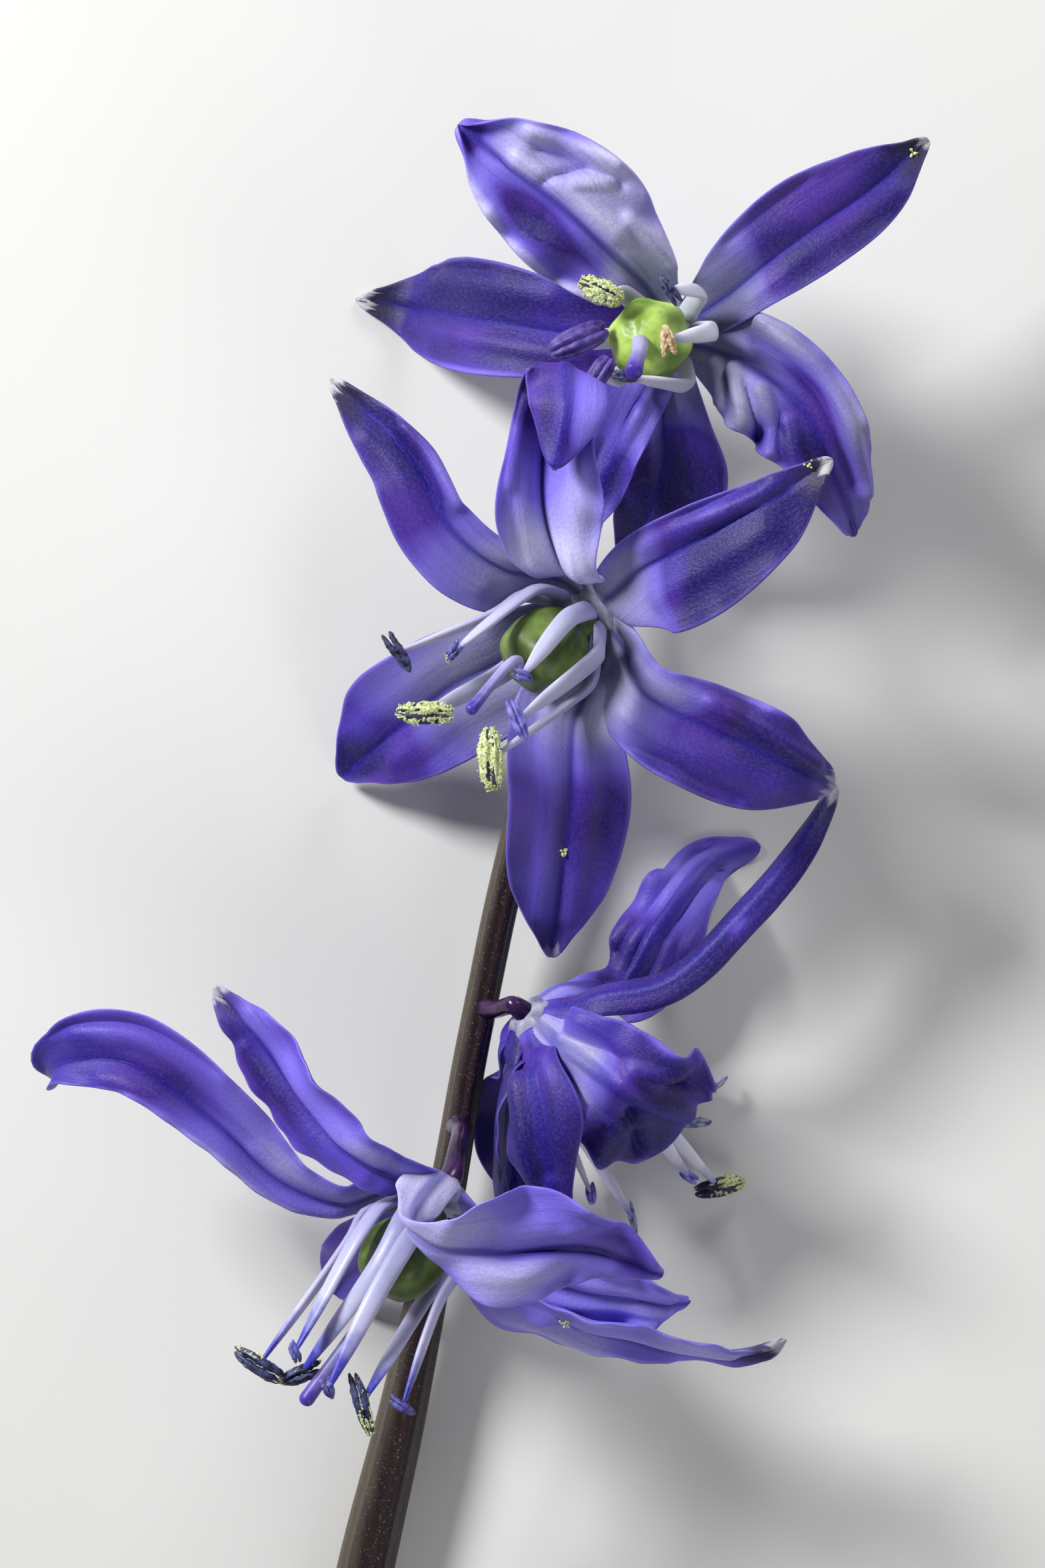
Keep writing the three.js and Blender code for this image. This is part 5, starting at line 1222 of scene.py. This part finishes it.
# %% Stamens of every flower
for number, flower in enumerate(FLOWERS, 1):
    up = flower_axis(flower)[1]
    looks = STAMEN_LOOKS[number - 1]
    for place, (stamen, look) in enumerate(zip(STAMENS[number - 1], looks), 1):
        draw = np.random.default_rng(1000 * number + place)
        bend, end = stamen[:2]
        points = from_foot(flower, (FILAMENT_FOOT, FILAMENT_BEND), (bend, end))
        ribbon = tube_body(points, FILAMENT_WIDE, FILAMENT_THIN, FILAMENT_GRID,
                           outward(up, bend), FILAMENT_SKIN)
        ribbon[2]["blue_from"], ribbon[2]["waxy"] = FILAMENT_LOOKS[number - 1]
        bodies = [ribbon, *anther_bodies(points[-1], stamen, look, draw)]
        make_piece(f"flower_{number}_stamen_{place}", bodies, f"flower_{number}_stamens")

# %% [markdown]
# ## Ovary and style
# The ovary is a six-grooved green capsule with a satin skin, and the style stands on it: white at
# its foot and violet at its blunt tip.

# %% Pistils
STYLE_RADIUS = [0.34, 0.3, 0.28, 0.3, 0.34]
STYLE_PLUMP = [1.1, 0.75, 0.9, 0.95]  # flower by flower
OVARY_GRID, STYLE_GRID = (56, 72), (30, 20)
STYLE_SIDE = np.array([0.9, 0.1, 0.4])  # any way that no style runs along
LEAST_RADIUS = 0.02  # keeps the ends of the ovary from folding on themselves
for number, flower in enumerate(FLOWERS, 1):
    seat, up = flower_axis(flower)
    profile = along(OVARY, np.linspace(0, 1, OVARY_GRID[0]))
    profile[:, 0] = np.maximum(profile[:, 0], LEAST_RADIUS)
    # flower 1's ovary is painted lit, the others' painted in shade
    tissue = TISSUES["lit_ovary_skin" if number == 1 else "shaded_ovary_skin"]
    ovary = (*turned(flower, profile, OVARY_GRID[1], OVARY_GROOVE), {}, tissue)
    style_points = [seat + up * STYLE_FOOT] + [seat + np.array(p) for p in flower["style"]]
    radii = np.array(STYLE_RADIUS) * STYLE_PLUMP[number - 1]
    style = tube_body(style_points, radii, radii, STYLE_GRID, STYLE_SIDE, STYLE_SKIN)
    for part, body in (("ovary", ovary), ("style", style)):
        make_piece(f"flower_{number}_{part}", [body], f"flower_{number}_pistil")

# %% [markdown]
# ## Pedicels and stem
# Both are tubes along a line. The pedicels are round, glossy and purple. The stem has six ridges
# that run its whole length, and its lower end is a clean cut that shows green flesh.

# %% Pedicels
PEDICEL_END = 0.8  # below the seat, inside the receptacle
PEDICEL_GRID, PEDICEL_SIDE = (60, 28), np.array([1, 0.2, 0.1])
STEM_SEARCH = 500  # places on the stem's line where a pedicel may begin
stem_middle = stem_line.place(np.linspace(0, 1, STEM_SEARCH))
for number, flower in enumerate(FLOWERS, 1):
    seat, up = flower_axis(flower)
    to_stem = np.linalg.norm(stem_middle - flower["pedicel"][0], axis=1)
    points = [stem_middle[to_stem.argmin()], *flower["pedicel"], seat - PEDICEL_END * up]
    body = tube_body(points, PEDICEL_RADIUS, PEDICEL_RADIUS, PEDICEL_GRID, PEDICEL_SIDE,
                     TISSUES["pedicel_epidermis"])
    make_piece(f"pedicel_skin_{number}", [body], f"pedicel_{number}")

# %% Stem
STEM_STEPS, STEM_SIDES = 260, 72
RIDGES, LESSER_RIDGES = 6, (0.18, 13, 1)  # for the lesser ones height, count and turn
SHADED_SIDE = 0.5  # radians by which the painted shade, the maroon side, is turned
angles = circle(STEM_SIDES)
height, count, turn = LESSER_RIDGES
ridges = np.cos(RIDGES * angles) + height * np.cos(count * angles + turn)
rings = np.stack([stem_ring(share, angles, ridges) for share in np.linspace(0, 1, STEM_STEPS)])
flank = 0.5 - 0.5 * np.cos(angles + SHADED_SIDE)
stem_marks = {
    "flank": np.append(np.tile(flank, STEM_STEPS), [0.5, 0.5]),
    "cut": np.append(np.zeros(STEM_STEPS * STEM_SIDES), [1.0, 0.0]),
}
make_piece("stem_skin", [(*skin(rings), stem_marks, STEM_SKIN)], "stem")

# %% [markdown]
# ## Table, light and camera
# A pale table and large soft lamps keep the studio plain. The camera looks straight down through a
# long lens, as a flat lay is taken, and its aim is fixed in the plant's own measures.


# %% The table
def matt_table(add):
    place = add("TexCoord", out="Object")
    grain = add("TexNoise", {"Vector": place, "Scale": 40.0, "Detail": 2.0})
    body = add("Mix", {0: grain, 6: colour("#d6d5d2"), 7: colour("#dcdbd9")}, out=2,
               data_type="RGBA")
    return {"Base Color": body, "Roughness": 0.8}


TABLE_SIZE = 2.0
bpy.ops.mesh.primitive_plane_add(size=TABLE_SIZE, location=(0, 0, 0))
floor = bpy.context.object
floor.name = "floor"
floor.data.materials.append(new_material("matt_table", matt_table))
print("table, m:", TABLE_SIZE)

# %% Lamps and the sky
LAMPS = (  # name, place and diameter in metres, watts
    ("key", (-0.23, 0.19, 0.2), 0.1, 1.75),
    ("fill", (0.2, -0.28, 0.22), 0.22, 0.42),
    ("rim", (0.12, 0.26, 0.11), 0.12, 0.35),
)
for name, place, size, power in LAMPS:
    data = bpy.data.lights.new(name, "AREA")
    data.shape, data.size, data.energy = "DISK", size, power
    lamp = bpy.data.objects.new(name, data)
    bpy.context.collection.objects.link(lamp)
    lamp.location = place
    lamp.rotation_euler = (-Vector(place)).to_track_quat("-Z", "Y").to_euler()
SKY, SKY_STRENGTH = "#dfe1e8", 0.2
world = bpy.data.worlds.new("studio")
world.use_nodes = True
sky = world.node_tree.nodes["Background"].inputs
sky["Color"].default_value, sky["Strength"].default_value = colour(SKY), SKY_STRENGTH
bpy.context.scene.world = world
bpy.context.scene.view_settings.view_transform = "Standard"
print("lamps:", len(LAMPS))

# %% The camera
LENS = 200.0
SENSOR = 36.0
VIEW_HEIGHT = 196 / 3  # millimetres of the plant from the top of the view to its foot
camera_data = bpy.data.cameras.new("camera")
camera_data.lens, camera_data.sensor_width = LENS, SENSOR
camera_data.clip_start, camera_data.clip_end = 0.01, 10.0
camera = bpy.data.objects.new("camera", camera_data)
bpy.context.collection.objects.link(camera)
camera.location = (PLANT_SHIFT + np.array([0, 0, LENS / SENSOR * VIEW_HEIGHT])) * MM
bpy.context.scene.camera = camera
print("camera height, mm:", round(camera.location.z / MM, 1))
